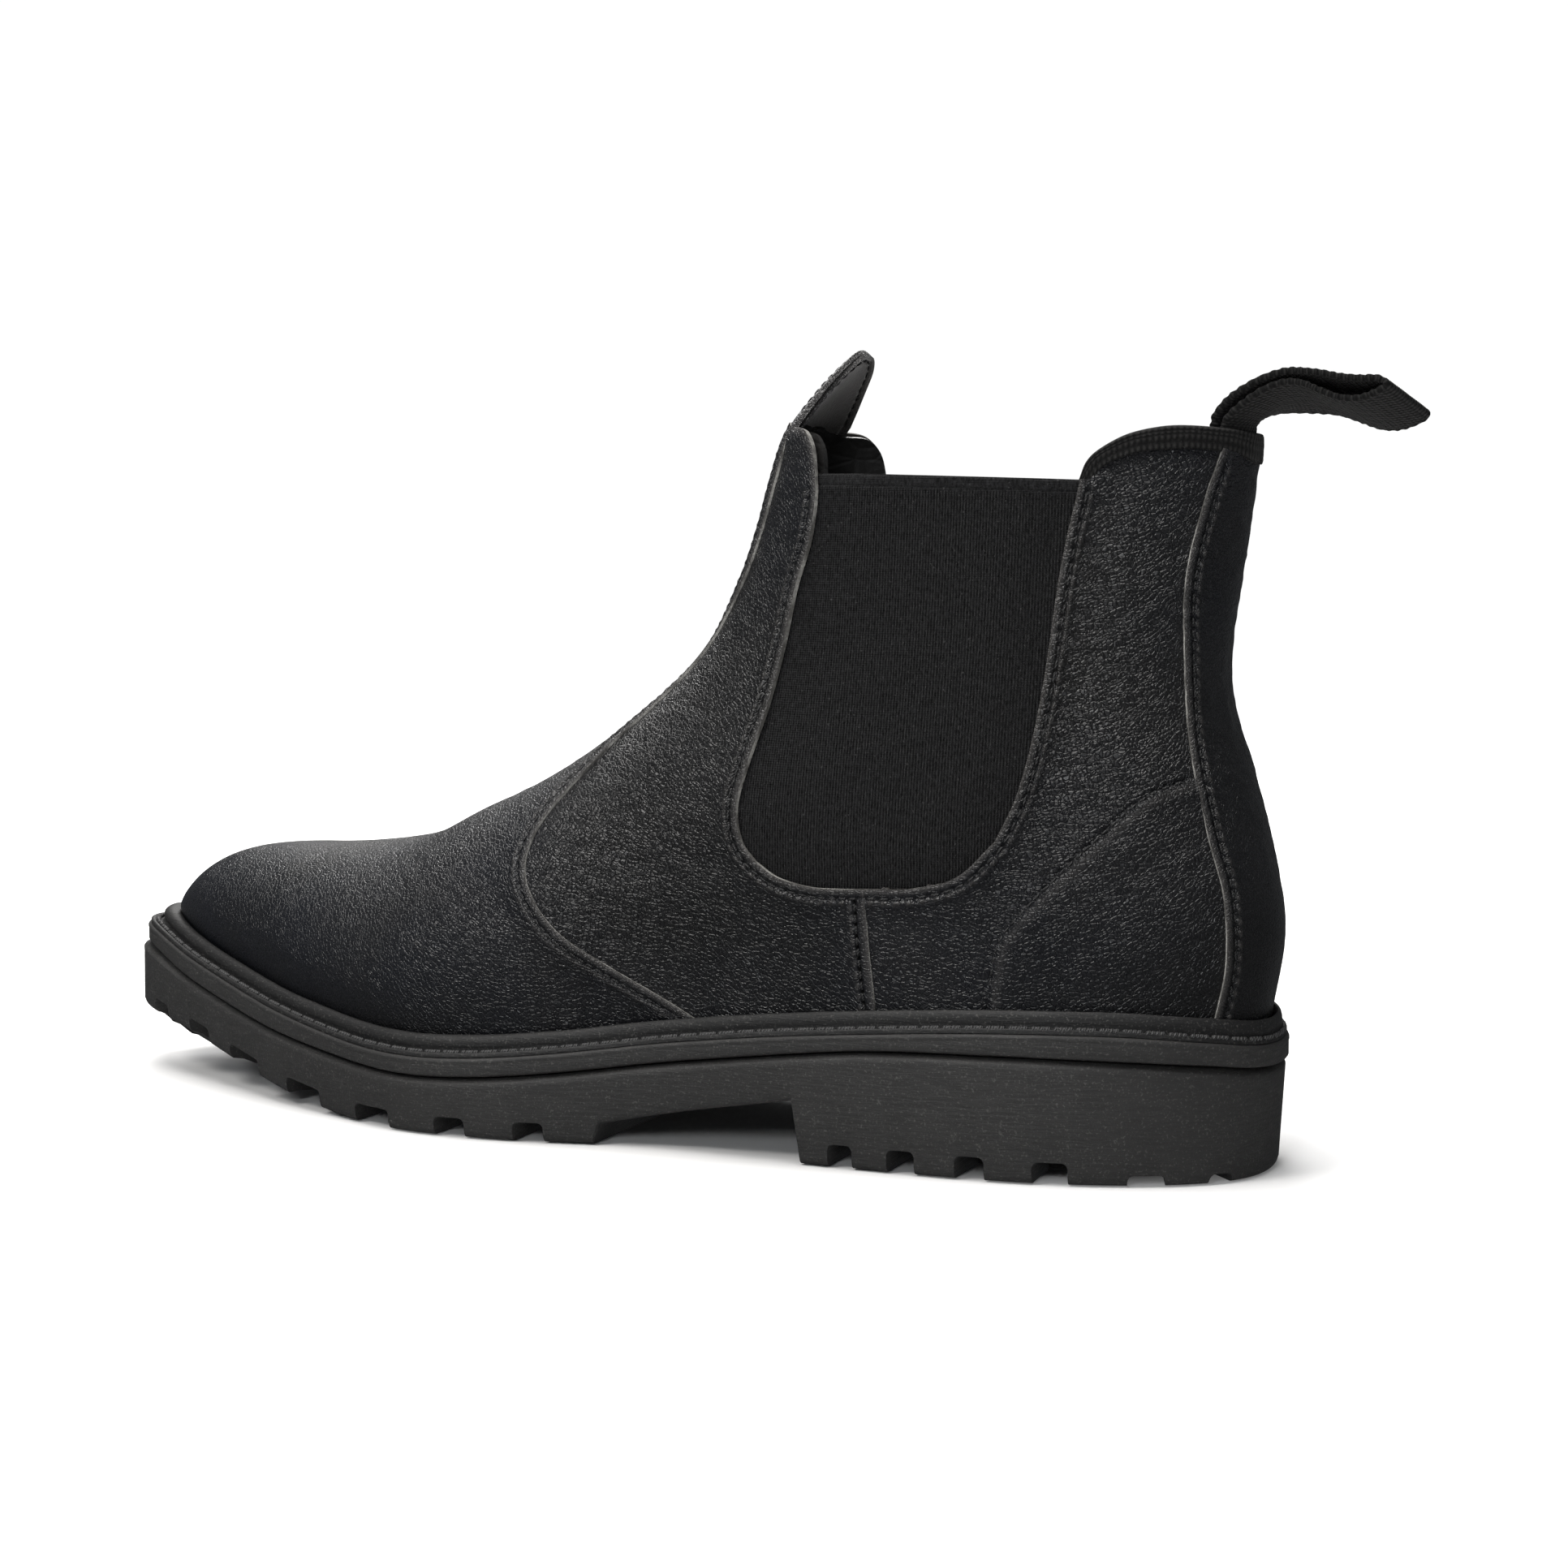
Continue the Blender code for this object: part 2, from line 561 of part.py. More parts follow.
def make_welt(look):
    """The storm welt: a flat strip on the ledge with a round bead against the upper."""
    strip = [(0.0, 0.35), (0.0, 1.1), (0.4, 1.2)]              # share of the ledge, height
    bead = [(0.45, 0.6 * BEAD), (0.6, 0.9 * BEAD), (0.78, BEAD), (1.0, 0.92 * BEAD), (1.0, 0.35)]
    xs = stations(SOLE_BACK_X, SOLE_TOE_X, 38)
    outer = outline(sole_half, xs, 0.9)
    scale = (TOE_TIP_X - HEEL_BACK_X) / (SOLE_TOE_X - SOLE_BACK_X)
    inner_xs = [HEEL_BACK_X + (x - SOLE_BACK_X) * scale for x in xs]
    inner = outline(feather_half, inner_xs, -1.0)
    rows = []
    for a, b in zip(outer, inner):
        rows.append([(a.lerp(b, share), up) for share, up in strip + bead])
    loop = [(row, LATERAL) for row in rows] + [(row, MEDIAL) for row in rows[-2:0:-1]]
    maker = bmesh.new()
    verts = [[maker.verts.new((p.x, middle_y(p.x, 30) + side * p.y, ledge_z(p.x) + up))
              for p, up in row] for row, side in loop]
    for i, row in enumerate(verts):
        after = verts[(i + 1) % len(verts)]
        for j, corner in enumerate(row):
            n = (j + 1) % len(row)
            maker.faces.new((corner, row[n], after[n], after[j]))
    finish("storm_welt", maker, look)


# --- inside the bottom ------------------------------------------------------------------------
def inner_plate(name, look, low, high, x_from, x_to, clear, square_ends=False):
    """A flat piece on the boot's bottom, from low to high above the upper's lower edge."""
    def half(x):
        if square_ends:
            return feather_half(x) - clear
        shift = clear
        start, end = HEEL_BACK_X + shift, TOE_TIP_X - shift
        scaled = HEEL_BACK_X + (x - start) * (TOE_TIP_X - HEEL_BACK_X) / (end - start)
        return max(feather_half(scaled) - shift * side_weight(scaled), 0.0)
    xs = stations(x_from, x_to, 26)
    pairs = [Vector((x, half(x))) for x in xs]
    plate(name, [(pairs, lambda x, s: feather_z(x) + low),
                 (pairs, lambda x, s: feather_z(x) + high)], look)


def side_weight(x):
    """1 along the sides and 0 at the two tips, where the length has been cut back."""
    return smooth(x, HEEL_BACK_X, HEEL_BACK_X + 14) * (1 - smooth(x, TOE_TIP_X - 14, TOE_TIP_X))


def make_shank(look):
    xs = [-18.0 + 12.0 * k for k in range(11)]
    half = 6.0
    rows = [[Vector((x, middle_y(x, 30) + s * half, feather_z(x) - 0.8)) for s in (-1, 0, 1)]
            for x in xs]
    raised = [[p + Vector((0, 0, 1.2)) for p in row] for row in rows]
    sheet_solid("shank", raised, rows, look)


# --- collar, loop and tab -----------------------------------------------------------------------
def make_collar_binding(look):
    """The woven tape over the rear edge of the collar, from gore to gore."""
    low = spaced([(back_x(156.8), 156.8), (-40, 158.7), (-33.4, 159.7), (-27.3, 159.5),
                  (-21.7, 158.8), (-16.7, 156.9), (-14.1, 154.9), (-12.2, 153.5)], 12, 1.3)
    high = spaced([(back_x(161.3), 161.3), (-40, 162), (-32, 162.6), (-26, 162.2),
                   (-19.7, 160.6), (-14.1, 157.5), (-11.6, 155.2), (-10.7, 153.8)], 12, 1.3)
    rows = [[a.lerp(b, t) for a, b in zip(low, high)] for t in (0.0, 0.5, 1.0)]

    def both(depth):
        near, far = layer(rows, LATERAL, depth), layer(rows, MEDIAL, depth)
        return [list(reversed(a)) + b[1:] for a, b in zip(near, far)]
    sheet_solid("collar_binding", both(0.0), both(3.2), look)


def make_pull_loop(look):
    """A folded length of webbing that stands up from the collar and hangs backwards."""
    path = [(-39.1, 164.7), (-39.9, 166.4), (-42.4, 168.8), (-46.6, 170.9), (-51.2, 171.7),
            (-55.5, 171.7), (-60.2, 171.2), (-64.6, 170.3), (-69, 169.8), (-72.6, 169.7),
            (-74.6, 168.4), (-72.6, 166.9), (-68.9, 165.7), (-64.7, 165.9), (-60.6, 167.4),
            (-56.4, 169), (-52.2, 169.5), (-48, 168.7), (-44.6, 166.9), (-42.6, 165.4),
            (-41.8, 164.6)]
    middle = spaced(path, 40)
    outer, inner = [], []
    for k, here in enumerate(middle):
        before, after = middle[max(k - 1, 0)], middle[min(k + 1, len(middle) - 1)]
        along = (after - before).normalized()
        normal = Vector((-along.y, along.x))
        bow = LOOP_BOW * (1 - smooth(-here.x, 42, 56))
        skew = LOOP_SKEW * smooth(-here.x, 44, 62)
        roll = LOOP_ROLL * smooth(-here.x, 40, 54)
        for rows, shift in ((outer, WEBBING / 2), (inner, -WEBBING / 2)):
            p = here + normal * shift
            rows.append([Vector((p.x + bow * y * y + skew * y, y, p.y + roll * y)) for y in
                         (LOOP_HALF_WIDTH * share for share in (-1, -0.5, 0, 0.5, 1))])
    sheet_solid("pull_loop", outer, inner, look, LOOP_HINGE)


def tab_rows(depth, shrink):
    """The pointed front tab: it carries the front of the collar upwards and backwards."""
    spine = spaced([(64.4, 167.7), (61.4, 170.9), (57.6, 174.9), (53.4, 179), (49.8, 182.6)], 9)
    rows = []
    for k, here in enumerate(spine):
        t = k / (len(spine) - 1)
        half = (TAB_HALF_WIDTH - shrink) * math.sqrt(1 - t) + 0.6 * t
        row = []
        for s in (-1.0, -0.6, 0.0, 0.6, 1.0):
            y = s * half
            curl = TAB_CURL * y * y
            row.append(Vector((here.x - curl - depth * 0.76, middle_y(60, 160) + y,
                               here.y - curl * 0.15 - depth * 0.65)))
        rows.append(row)
    return rows


def make_tab(leather, lining):
    sheet_solid("front_tab", tab_rows(0.0, 0.0), tab_rows(1.3, 0.0), leather, TAB_HINGE)
    sheet_solid("tab_lining", tab_rows(1.7, 0.3), tab_rows(2.5, 0.3), lining, TAB_HINGE)


# --- the upper's pieces --------------------------------------------------------------------------
def above_feather(xs):
    """Points just above the upper's lower edge."""
    return [(x, feather_z(x) + MARGIN) for x in xs]


def make_upper(leather, elastic, lining, board, suede):
    toe_line = list(reversed(spaced(RIDGE, 12, 1, 0, 3)))
    vamp_edge = joined(
        spaced(above_feather((TOE_TIP_X, 243, 232, 212, 185, 150, 115, 76)), 14, 1.7),
        spaced(VAMP_SEAM_LOW, 9), spaced(VAMP_STRIP, 8))
    vamp_ridge = joined(spaced(RIDGE, 14, 1.3, 3, 6), spaced(RIDGE, 9, 1, 6, 11),
                        spaced(RIDGE, 8, 1, 11))
    wrapped_piece("vamp", vamp_ridge, vamp_edge, 7, leather, head=toe_line, folded=True)

    seam = joined(spaced(VAMP_SEAM_LOW, 9), spaced(VAMP_STRIP, 8))
    quarter_rear = list(reversed(joined(spaced(GORE_FRONT, 9), spaced(GORE_FLOOR_FRONT, 4),
                                        spaced(SIDE_SEAM, 4))))
    for side, word in ((LATERAL, "lateral"), (MEDIAL, "medial")):
        side_piece(f"front_quarter_{word}", seam, quarter_rear, 6, side, leather,
                   tail=FRONT_LOBE)

    front = joined(spaced(GORE_FRONT, 9), spaced(GORE_FLOOR_FRONT, 4))
    rear = list(reversed(joined(spaced(GORE_FLOOR_REAR, 4), spaced(GORE_REAR, 9))))
    for edge in (front, rear):
        for point in edge[9:]:
            point.y += GORE_LIFT
    for side, word in ((LATERAL, "lateral"), (MEDIAL, "medial")):
        side_piece(f"gore_{word}", front, rear, 7, side, elastic, 0.1, 1.3)

    side_edge = joined(list(reversed(spaced(GORE_REAR, 9))), list(reversed(
        spaced(GORE_FLOOR_REAR, 4))), spaced(SIDE_SEAM, 4))
    stay_edge = spaced(BACKSTAY_EDGE, 17)
    for side, word in ((LATERAL, "lateral"), (MEDIAL, "medial")):
        side_piece(f"rear_quarter_{word}", stay_edge, side_edge, 7, side, leather,
                   crowd_a=True, head=REAR_TOP)
    wrapped_piece("backstay", back_line(STAY_TOP, STAY_FOOT, 17), stay_edge, 4, leather)

    puff_ridge = spaced(RIDGE, 9, 1.2, 3, 6)
    puff_edge = spaced(above_feather((TOE_TIP_X, 243, 225, 205)), 9, 1.6)
    wrapped_piece("toe_puff", puff_ridge, puff_edge, 5, board, STIFFENER_DEPTH, STIFFENER,
                  head=toe_line, folded=True)
    counter_edge = spaced([(-30, 84), (-14, 72), (0, 55), (2, 37.6)], 8)
    wrapped_piece("heel_counter", back_line(84, STAY_FOOT + 1, 8), counter_edge, 7, board,
                  STIFFENER_DEPTH, STIFFENER)

    front_edge = joined(
        spaced(above_feather((TOE_TIP_X, 243, 226, 206, 180, 150, 115, 76, 32.2)), 14, 1.6),
        spaced(list(reversed(SIDE_SEAM)), 3),
        list(reversed(spaced(GORE_FLOOR_FRONT, 3))), list(reversed(spaced(GORE_FRONT, 7))))
    front_ridge = joined(spaced(RIDGE, 14, 1.3, 3, 9), spaced(RIDGE, 3, 1, 9, 11),
                         spaced(RIDGE, 3, 1, 11, 13), spaced(RIDGE, 7, 1, 13))
    wrapped_piece("front_lining", front_ridge, front_edge, 6, lining, lining_depth, LINING,
                  head=toe_line, tail=[RIDGE[-1]] + FRONT_LOBE, folded=True)
    rear_edge = joined(list(reversed(spaced(GORE_REAR, 7))), list(reversed(
        spaced(GORE_FLOOR_REAR, 3))), spaced(SIDE_SEAM, 4))
    wrapped_piece("rear_lining", back_line(STAY_TOP, STAY_FOOT + 1, 14), rear_edge, 7, lining,
                  lining_depth, LINING, head=[(back_x(STAY_TOP), STAY_TOP)] + REAR_TOP)
    grip_edge = spaced([(-24, 112), (-20, 100), (-20, 80), (-20, 60), (-20, 48)], 8)
    wrapped_piece("heel_grip", back_line(118, 48, 8), grip_edge, 6, suede, GRIP_DEPTH, GRIP)


def main():
    for old in list(bpy.data.objects):
        bpy.data.objects.remove(old, do_unlink=True)
    leather = material("black_leather", (0.018, 0.018, 0.02), 0.42)
    elastic = material("black_elastic", (0.012, 0.012, 0.013), 0.85)
    lining = material("black_lining", (0.015, 0.015, 0.016), 0.35)
    rubber = material("black_rubber", (0.035, 0.034, 0.033), 0.75)
    webbing = material("black_webbing", (0.012, 0.012, 0.012), 0.9)
    suede = material("dark_suede", (0.03, 0.028, 0.026), 0.95)
    board = material("fibre_board", (0.42, 0.31, 0.2), 0.8)
    cork = material("cork", (0.45, 0.3, 0.17), 0.9)
    steel = material("shank_steel", (0.55, 0.56, 0.58), 0.35, 1.0)

    make_outsole(rubber)
    make_midsole(rubber)
    make_welt(rubber)
    make_shank(steel)
    inner_plate("bottom_filler", cork, -0.8, 0.5, 112, 214, 7.5, square_ends=True)
    inner_plate("insole_board", board, 0.9, 2.6, HEEL_BACK_X + 6.5, TOE_TIP_X - 6.5, 6.5)
    inner_plate("footbed", suede, 3.0, 7.5, HEEL_BACK_X + 6.9, TOE_TIP_X - 9.8, 6.9)
    make_upper(leather, elastic, lining, board, suede)
    make_collar_binding(webbing)
    make_pull_loop(webbing)
    make_tab(leather, lining)


main()
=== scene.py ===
"""Looks of the left chelsea boot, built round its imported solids.

The outlines and the surface of the upper are those of the solids, in millimetres; meshes
are turned into metres where they are made. Points of the side view are (x, z).
"""
import math

import bmesh
import bpy
import numpy as np
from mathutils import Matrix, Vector, noise


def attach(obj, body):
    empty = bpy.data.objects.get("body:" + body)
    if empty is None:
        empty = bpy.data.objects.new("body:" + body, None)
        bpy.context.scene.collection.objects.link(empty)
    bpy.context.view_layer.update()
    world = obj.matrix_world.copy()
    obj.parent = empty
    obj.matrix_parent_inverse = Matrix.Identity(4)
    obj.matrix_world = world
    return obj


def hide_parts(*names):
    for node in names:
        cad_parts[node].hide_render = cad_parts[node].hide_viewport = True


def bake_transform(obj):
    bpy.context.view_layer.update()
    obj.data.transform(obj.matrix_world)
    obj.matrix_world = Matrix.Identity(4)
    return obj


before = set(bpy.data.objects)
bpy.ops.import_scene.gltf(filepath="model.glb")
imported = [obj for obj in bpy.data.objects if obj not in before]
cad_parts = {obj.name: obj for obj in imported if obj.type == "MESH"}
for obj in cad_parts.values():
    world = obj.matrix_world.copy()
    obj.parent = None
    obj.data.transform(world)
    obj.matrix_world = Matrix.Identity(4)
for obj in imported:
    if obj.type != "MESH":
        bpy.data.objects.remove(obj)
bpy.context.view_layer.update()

MM = 0.001
LATERAL, MEDIAL = 1.0, -1.0
SIDES = ((LATERAL, "lateral"), (MEDIAL, "medial"))
FINE, COARSE = 12, 6                       # rows here for each row of a solid
FAIR_STEPS = 12                            # points between two given ones of a curve
FAR_OFF = 99.0                             # stands for a line that is nowhere near

TOE_TIP_X, HEEL_BACK_X = 249.6, -47.3
BALL_X, SEAT_X = 150.0, 30.0
BALL_HALF_WIDTH, SEAT_HALF_WIDTH = 41.6, 34.6
SOLE_TOE_X, SOLE_BACK_X = 260.6, -50.8
SOLE_BALL_HALF, SOLE_SEAT_HALF = 48.2, 39.2
LEATHER, LINING = 1.3, 0.8
LAP = 0.75                                 # how far a lapped edge stands up
SWELL = 2.5
HEAD_ROWS, TAIL_ROWS = 6, 4
LEDGE_DROP = 3.4                           # from the feather line down to the ledge
GROOVE_HALF, GROOVE_DEEP = 0.2, 1.5
TREAD = 4.5
HEEL_SETBACK, TOE_BUMPER = 1.2, 2.0
LUG_REACH = 17.0
BREAST_X, BREAST_TOP_X = 49.0, 51.2
WAIST_TOP_X, WAIST_X = 98.6, 100.0
BREAST_Z = 14.0
MARGIN = 0.4
LOOP_HALF_WIDTH, WEBBING = 10.8, 1.3
LOOP_BOW, LOOP_SKEW, LOOP_ROLL = 0.031, 0.23, 0.26
LOOP_WEAVE = 1.9                           # pitch of the webbing's cross ribs
TAB_HALF_WIDTH, TAB_CURL = 14.2, 0.024
TAB_ROWS, TAB_COLUMNS = 80, 57
TAB_FACE = (0.76, 0.65)                    # the way the tab's front faces, in x and z
STITCH_IN, SIDE_STITCH_IN = 2.1, 2.6       # from a raw edge to its row of stitches
VAMP_PITCH, FRONT_PITCH, REAR_PITCH, STAY_PITCH = 2.4, 2.5, 3.0, 2.6
COUNTER_PITCH, TAB_PITCH, WELT_PITCH = 2.6, 2.4, 4.9
THREAD_RADIUS = 0.26
THREAD_LIFT = LAP * 0.9 - THREAD_RADIUS
RIB, GORE_LEAN, GORE_TOP = 0.68, 0.02, 152.75
GORE_REACH, RIB_STEPS = 84, 4              # width of the ribbed sheet, columns to a rib

RIDGE = [(249.6, 39.9), (248.4, 44.6), (244.6, 49.9), (238, 54.5), (228, 58.2), (215, 60),
         (197, 61), (180, 63), (163, 66.6), (146.7, 74), (130.5, 81.3), (114.7, 90.8),
         (98.2, 102.6), (86.6, 114.4), (80, 126.2), (74.7, 140), (71.7, 151.4),
         (68.8, 159.9), (65.0, 166.4)]
BACK = [(-47.3, 35), (-49.6, 50), (-48.8, 62), (-43.9, 83), (-37.8, 102), (-37, 115),
        (-40, 136), (-42.4, 155), (-42.5, 164)]
FEATHER = [(-51, 32.4), (-46, 33.4), (-38, 34.8), (-20, 36.2), (10, 35.6), (50, 32.3),
           (80, 28.5), (105, 24.8), (130, 22.2), (150, 21.6), (170, 22.8), (200, 27.4),
           (230, 34.2), (249, 39.4), (261, 41)]
GROOVE = [(-51, 23.6), (-46, 24.6), (-38, 26), (-20, 27.1), (5, 27.3), (30, 26.6),
          (50, 24.6), (80, 20.4), (105, 16.6), (130, 14), (150, 13.4), (170, 14.6),
          (200, 18.4), (230, 25), (249, 30.6), (261, 32.6)]
WAIST_HALF = [(30, 34.6), (60, 32.6), (80, 31.6), (100, 33.2), (120, 37.6), (138, 41),
              (150, 41.6)]
SHAFT_HALF = [(35, 34.6), (60, 35), (80, 34), (100, 31.5), (120, 29), (140, 27.6),
              (155, 27.2), (170, 27.2)]
SWING = [(-52, -0.4), (20, 0.0), (110, 1.0), (140, 0.0), (150, -1.2), (173, -5),
         (192, -7.5), (215, -10.3), (240, -10.6), (261, -9)]
SOLE_WAIST = [(SEAT_X, 39.2), (48, 38.4), (70, 37.2), (86, 37), (100, 38.8),
              (114, 42.4), (128, 45.8), (140, 47.7), (BALL_X, SOLE_BALL_HALF)]
ARCH = [(BREAST_TOP_X, BREAST_Z), (76.4, 9.4), (WAIST_TOP_X, 4.8), (WAIST_X, 4.7)]
TREAD_MIDDLE = [(165, 0), (190, 0.7), (215, 3), (242, 7), (261, 10.9)]
TREAD_EDGE = [(155, 0), (170, 0.5), (190, 2.9), (212, 7.2), (235, 12.4), (250, 14.8),
              (261, 15.4)]

VAMP_SEAM_LOW = [(76, 29.4), (86.7, 35), (97.2, 40.5), (109.8, 48.2), (118.3, 58.2),
                 (120.4, 66.6), (117, 76.3), (106.5, 91)]
VAMP_STRIP = [(106.5, 91), (92, 106), (80.7, 119.1), (72.8, 131.9), (67.7, 146),
              (61.8, 164.6)]
GORE_FRONT = [(52.4, 153.9), (52.1, 148), (53.4, 138.5), (56.6, 128), (58.8, 115),
              (61.2, 102), (64.6, 89), (66.6, 79), (65, 71.4), (61.4, 67)]
GORE_FLOOR_FRONT = [(61.4, 67), (55.8, 63.7), (48, 62), (41, 61.9), (34.8, 62.2)]
GORE_FLOOR_REAR = [(34.8, 62.2), (24, 62.8), (13.4, 66), (5.2, 74)]
GORE_REAR = [(5.2, 74), (1, 83.5), (-2, 96), (-4.2, 111), (-5.8, 126), (-7.6, 138),
             (-10.5, 151.6)]
SIDE_SEAM = [(34.8, 62.2), (33.8, 49.1), (32.2, 34.6)]
FRONT_LOBE = [(61.8, 164.6), (57, 163.8), (54.6, 161.6), (53.2, 158.5), (52.4, 153.9)]
BACKSTAY_EDGE = [(-38, 158.3), (-34.6, 146.4), (-31.6, 132), (-31, 118), (-32.4, 98.1),
                 (-37.5, 75.7), (-41, 62), (-41.6, 47.9), (-39.3, 35.2)]
REAR_TOP = [(-38, 158.3), (-33.4, 159.1), (-27.3, 158.9), (-21.7, 158), (-17.2, 156.1),
            (-14.4, 153.6), (-12.6, 151.9), (-10.5, 151.6)]
STAY_TOP, STAY_FOOT = 156.2, 34.0
COUNTER_LINE = [(6.8, 37), (5.1, 48.7), (2.3, 55), (-6.8, 65.2), (-17.5, 76.2),
                (-26.2, 84.3), (-36, 88.4)]
COUNTER_FRONT_X = COUNTER_LINE[0][0]
HEEL_GAPS = [(36.4, 42.2, 5.2), (21.8, 28.2, 5.2), (6, 12.6, 5.2), (-12, -4.4, 4.9),
             (-32, -24.5, 2.4), (-45, -41, 2.2)]
FOREFOOT_GAPS = [(111.7, 119, TREAD), (131, 139, TREAD), (152.2, 163.8, TREAD),
                 (177, 190, TREAD), (201.8, 214.5, TREAD), (224, 233, TREAD),
                 (242, 248.5, TREAD)]
LOOP_PATH = [(-38.2, 159.5), (-38.9, 163.4), (-39.4, 165.6), (-42.2, 168.7),
             (-46.6, 170.9), (-51.2, 171.7), (-55.5, 171.7), (-60.2, 171.2),
             (-64.6, 170.3), (-69, 169.8), (-72.6, 169.7), (-74.6, 168.4),
             (-72.6, 166.9), (-68.9, 165.7), (-64.7, 165.9), (-60.6, 167.4),
             (-56.4, 169), (-52.2, 169.5), (-48, 168.7), (-44.3, 166.7), (-42, 164.8),
             (-41.2, 163), (-41.3, 159.5)]
TAB_FOOT = (66.9, 164.4)
TAB_SPINE = [(64.4, 167.7), (61.4, 170.9), (57.6, 174.9), (53.4, 179), (49.8, 182.6)]
FEATHER_STATIONS = (TOE_TIP_X, 243, 232, 212, 185, 150, 115, 76)
LINING_STATIONS = (TOE_TIP_X, 243, 226, 206, 180, 150, 115, 76, 32.2)


# --- curves ---
def fair(points):
    """A smooth curve through the given points."""
    given = np.array(points, float)
    ends = np.vstack([2 * given[0] - given[1], given, 2 * given[-1] - given[-2]])
    t = (np.arange(FAIR_STEPS) / FAIR_STEPS)[:, None]
    dense = [0.5 * (2 * b + (c - a) * t + (2 * a - 5 * b + 4 * c - d) * t * t
                    + (3 * b - a - 3 * c + d) * t ** 3)
             for a, b, c, d in zip(ends, ends[1:], ends[2:], ends[3:])]
    return np.vstack(dense + [given[-1:]])


def runs(line):
    """Length from the start of a line to each of its points."""
    return np.concatenate([[0.0], np.cumsum(np.linalg.norm(np.diff(line, axis=0), axis=1))])


def resampled(line, goals):
    run = runs(line)
    return np.stack([np.interp(goals, run, line[:, k]) for k in range(line.shape[1])], axis=1)


def spaced(points, count, crowd=1.0, first=0, last=None):
    """Points spread along a curve from one given point to another, crowded to its start."""
    end = None if last is None else last * FAIR_STEPS + 1
    dense = fair(points)[first * FAIR_STEPS:end]
    return resampled(dense, runs(dense)[-1] * (np.arange(count + 1) / count) ** crowd)


def joined(*parts):
    """Lines end to end, without the doubled points."""
    return np.vstack([parts[0]] + [p[1:] for p in parts[1:]])


def over(points, key=0):
    """One coordinate of a curve as a function of the other, the key."""
    dense = fair(points)
    order = np.argsort(dense[:, key], kind="stable")
    keys, values = dense[order, key], dense[order, 1 - key]
    return lambda v: np.interp(v, keys, values)


def smooth(value, low, high):
    t = np.clip((np.asarray(value, float) - low) / (high - low), 0, 1)
    return t * t * (3 - 2 * t)


def rounded(t, power, root=None):
    """A rounded front: 1 at t = 0, falling to 0 at t = 1."""
    return np.maximum(0.0, 1 - np.minimum(np.abs(t), 1.0) ** power) ** (root or 1 / power)


ridge_z, ridge_x, back_x = over(RIDGE), over(RIDGE, 1), over(BACK, 1)
feather_z, groove_height = over(FEATHER), over(GROOVE)
waist_half, shaft_half, sole_waist = over(WAIST_HALF), over(SHAFT_HALF), over(SOLE_WAIST)
swing, arch_z = over(SWING), over(ARCH)
tread_middle, tread_edge = over(TREAD_MIDDLE), over(TREAD_EDGE)


# --- the surface of the upper ---
def plan_half(x, toe, back, ball_half, seat_half, waist):
    x = np.asarray(x, float)
    toe_part = ball_half * rounded(np.maximum(x - BALL_X, 0) / (toe - BALL_X), 1.33, 0.55)
    heel_part = seat_half * rounded(np.maximum(SEAT_X - x, 0) / (SEAT_X - back), 2.3)
    return np.where(x >= BALL_X, toe_part, np.where(x <= SEAT_X, heel_part, waist(x)))


def feather_half(x):
    return plan_half(x, TOE_TIP_X, HEEL_BACK_X, BALL_HALF_WIDTH, SEAT_HALF_WIDTH, waist_half)


def sole_half(x):
    return plan_half(x, SOLE_TOE_X, SOLE_BACK_X, SOLE_BALL_HALF, SOLE_SEAT_HALF, sole_waist)


def middle_y(x, z):
    waist_shift = 1.6 * smooth(x, 20, 70) * (1 - smooth(x, 105, 145))
    return swing(x) + waist_shift * (1 - smooth(z, 60, 110))


def half_width(x, z):
    """Half the width of the upper over the side view."""
    low, top = feather_z(x), ridge_z(x)
    a = np.clip((z - low) / np.maximum(top - low, 0.1), 0, 1)
    upright = (feather_half(x) + SWELL * 4 * a * (1 - a)) * rounded(a, 2.3)
    widest = 30 - 15 * smooth(z, 60, 120)
    front = rounded(np.maximum(x - widest, 0) / (ridge_x(z) - widest), 2.2)
    rear = rounded(np.maximum(widest - x, 0) / (widest - back_x(z)), 2.3)
    tuck = np.where((x > SEAT_X) & (x < 115), 1 - waist_half(x) / SEAT_HALF_WIDTH, 0.0)
    level = np.where(x >= widest, front, rear)
    level = level * shaft_half(z) * (1 - tuck * (1 - smooth(z, 45, 90)))
    share = 1 - smooth(x, 60, 120)
    return share * level + (1 - share) * upright


def unit(vectors):
    return vectors / np.maximum(np.linalg.norm(vectors, axis=-1, keepdims=True), 1e-9)


def outward(x, z, side=LATERAL):
    """The way the upper faces at points of the side view."""
    step = 0.6
    slope_x = (half_width(x + step, z) - half_width(x - step, z)) / (2 * step)
    slope_z = (half_width(x, z + step) - half_width(x, z - step)) / (2 * step)
    across = np.where(half_width(x, z) > 0.05, 1.0, 0.0)
    return unit(np.stack([-slope_x, across, -slope_z], axis=-1)) * np.array([1, side, 1])


def skin(points, side, depth=0.0):
    """Points of the upper at a depth below its outer surface, from side-view points."""
    x, z = points[..., 0], points[..., 1]
    normal = outward(x, z)
    depth = np.asarray(depth, float) * np.ones_like(x)
    px, pz = x - depth * normal[..., 0], z - depth * normal[..., 2]
    py = np.maximum(half_width(x, z) - depth * normal[..., 1], 0.0)
    return np.stack([px, middle_y(px, pz) + side * py, pz], axis=-1)


def lining_depth(points):
    """Depth of the lining, which runs deeper behind the toe puff and the counter."""
    x, z = points[..., 0], points[..., 1]
    toe = smooth(x, 172, 188)
    heel = (1 - smooth(x, 6, 20)) * (1 - smooth(z, 92, 104))
    return 2.6 + 1.3 * np.maximum(toe, heel)


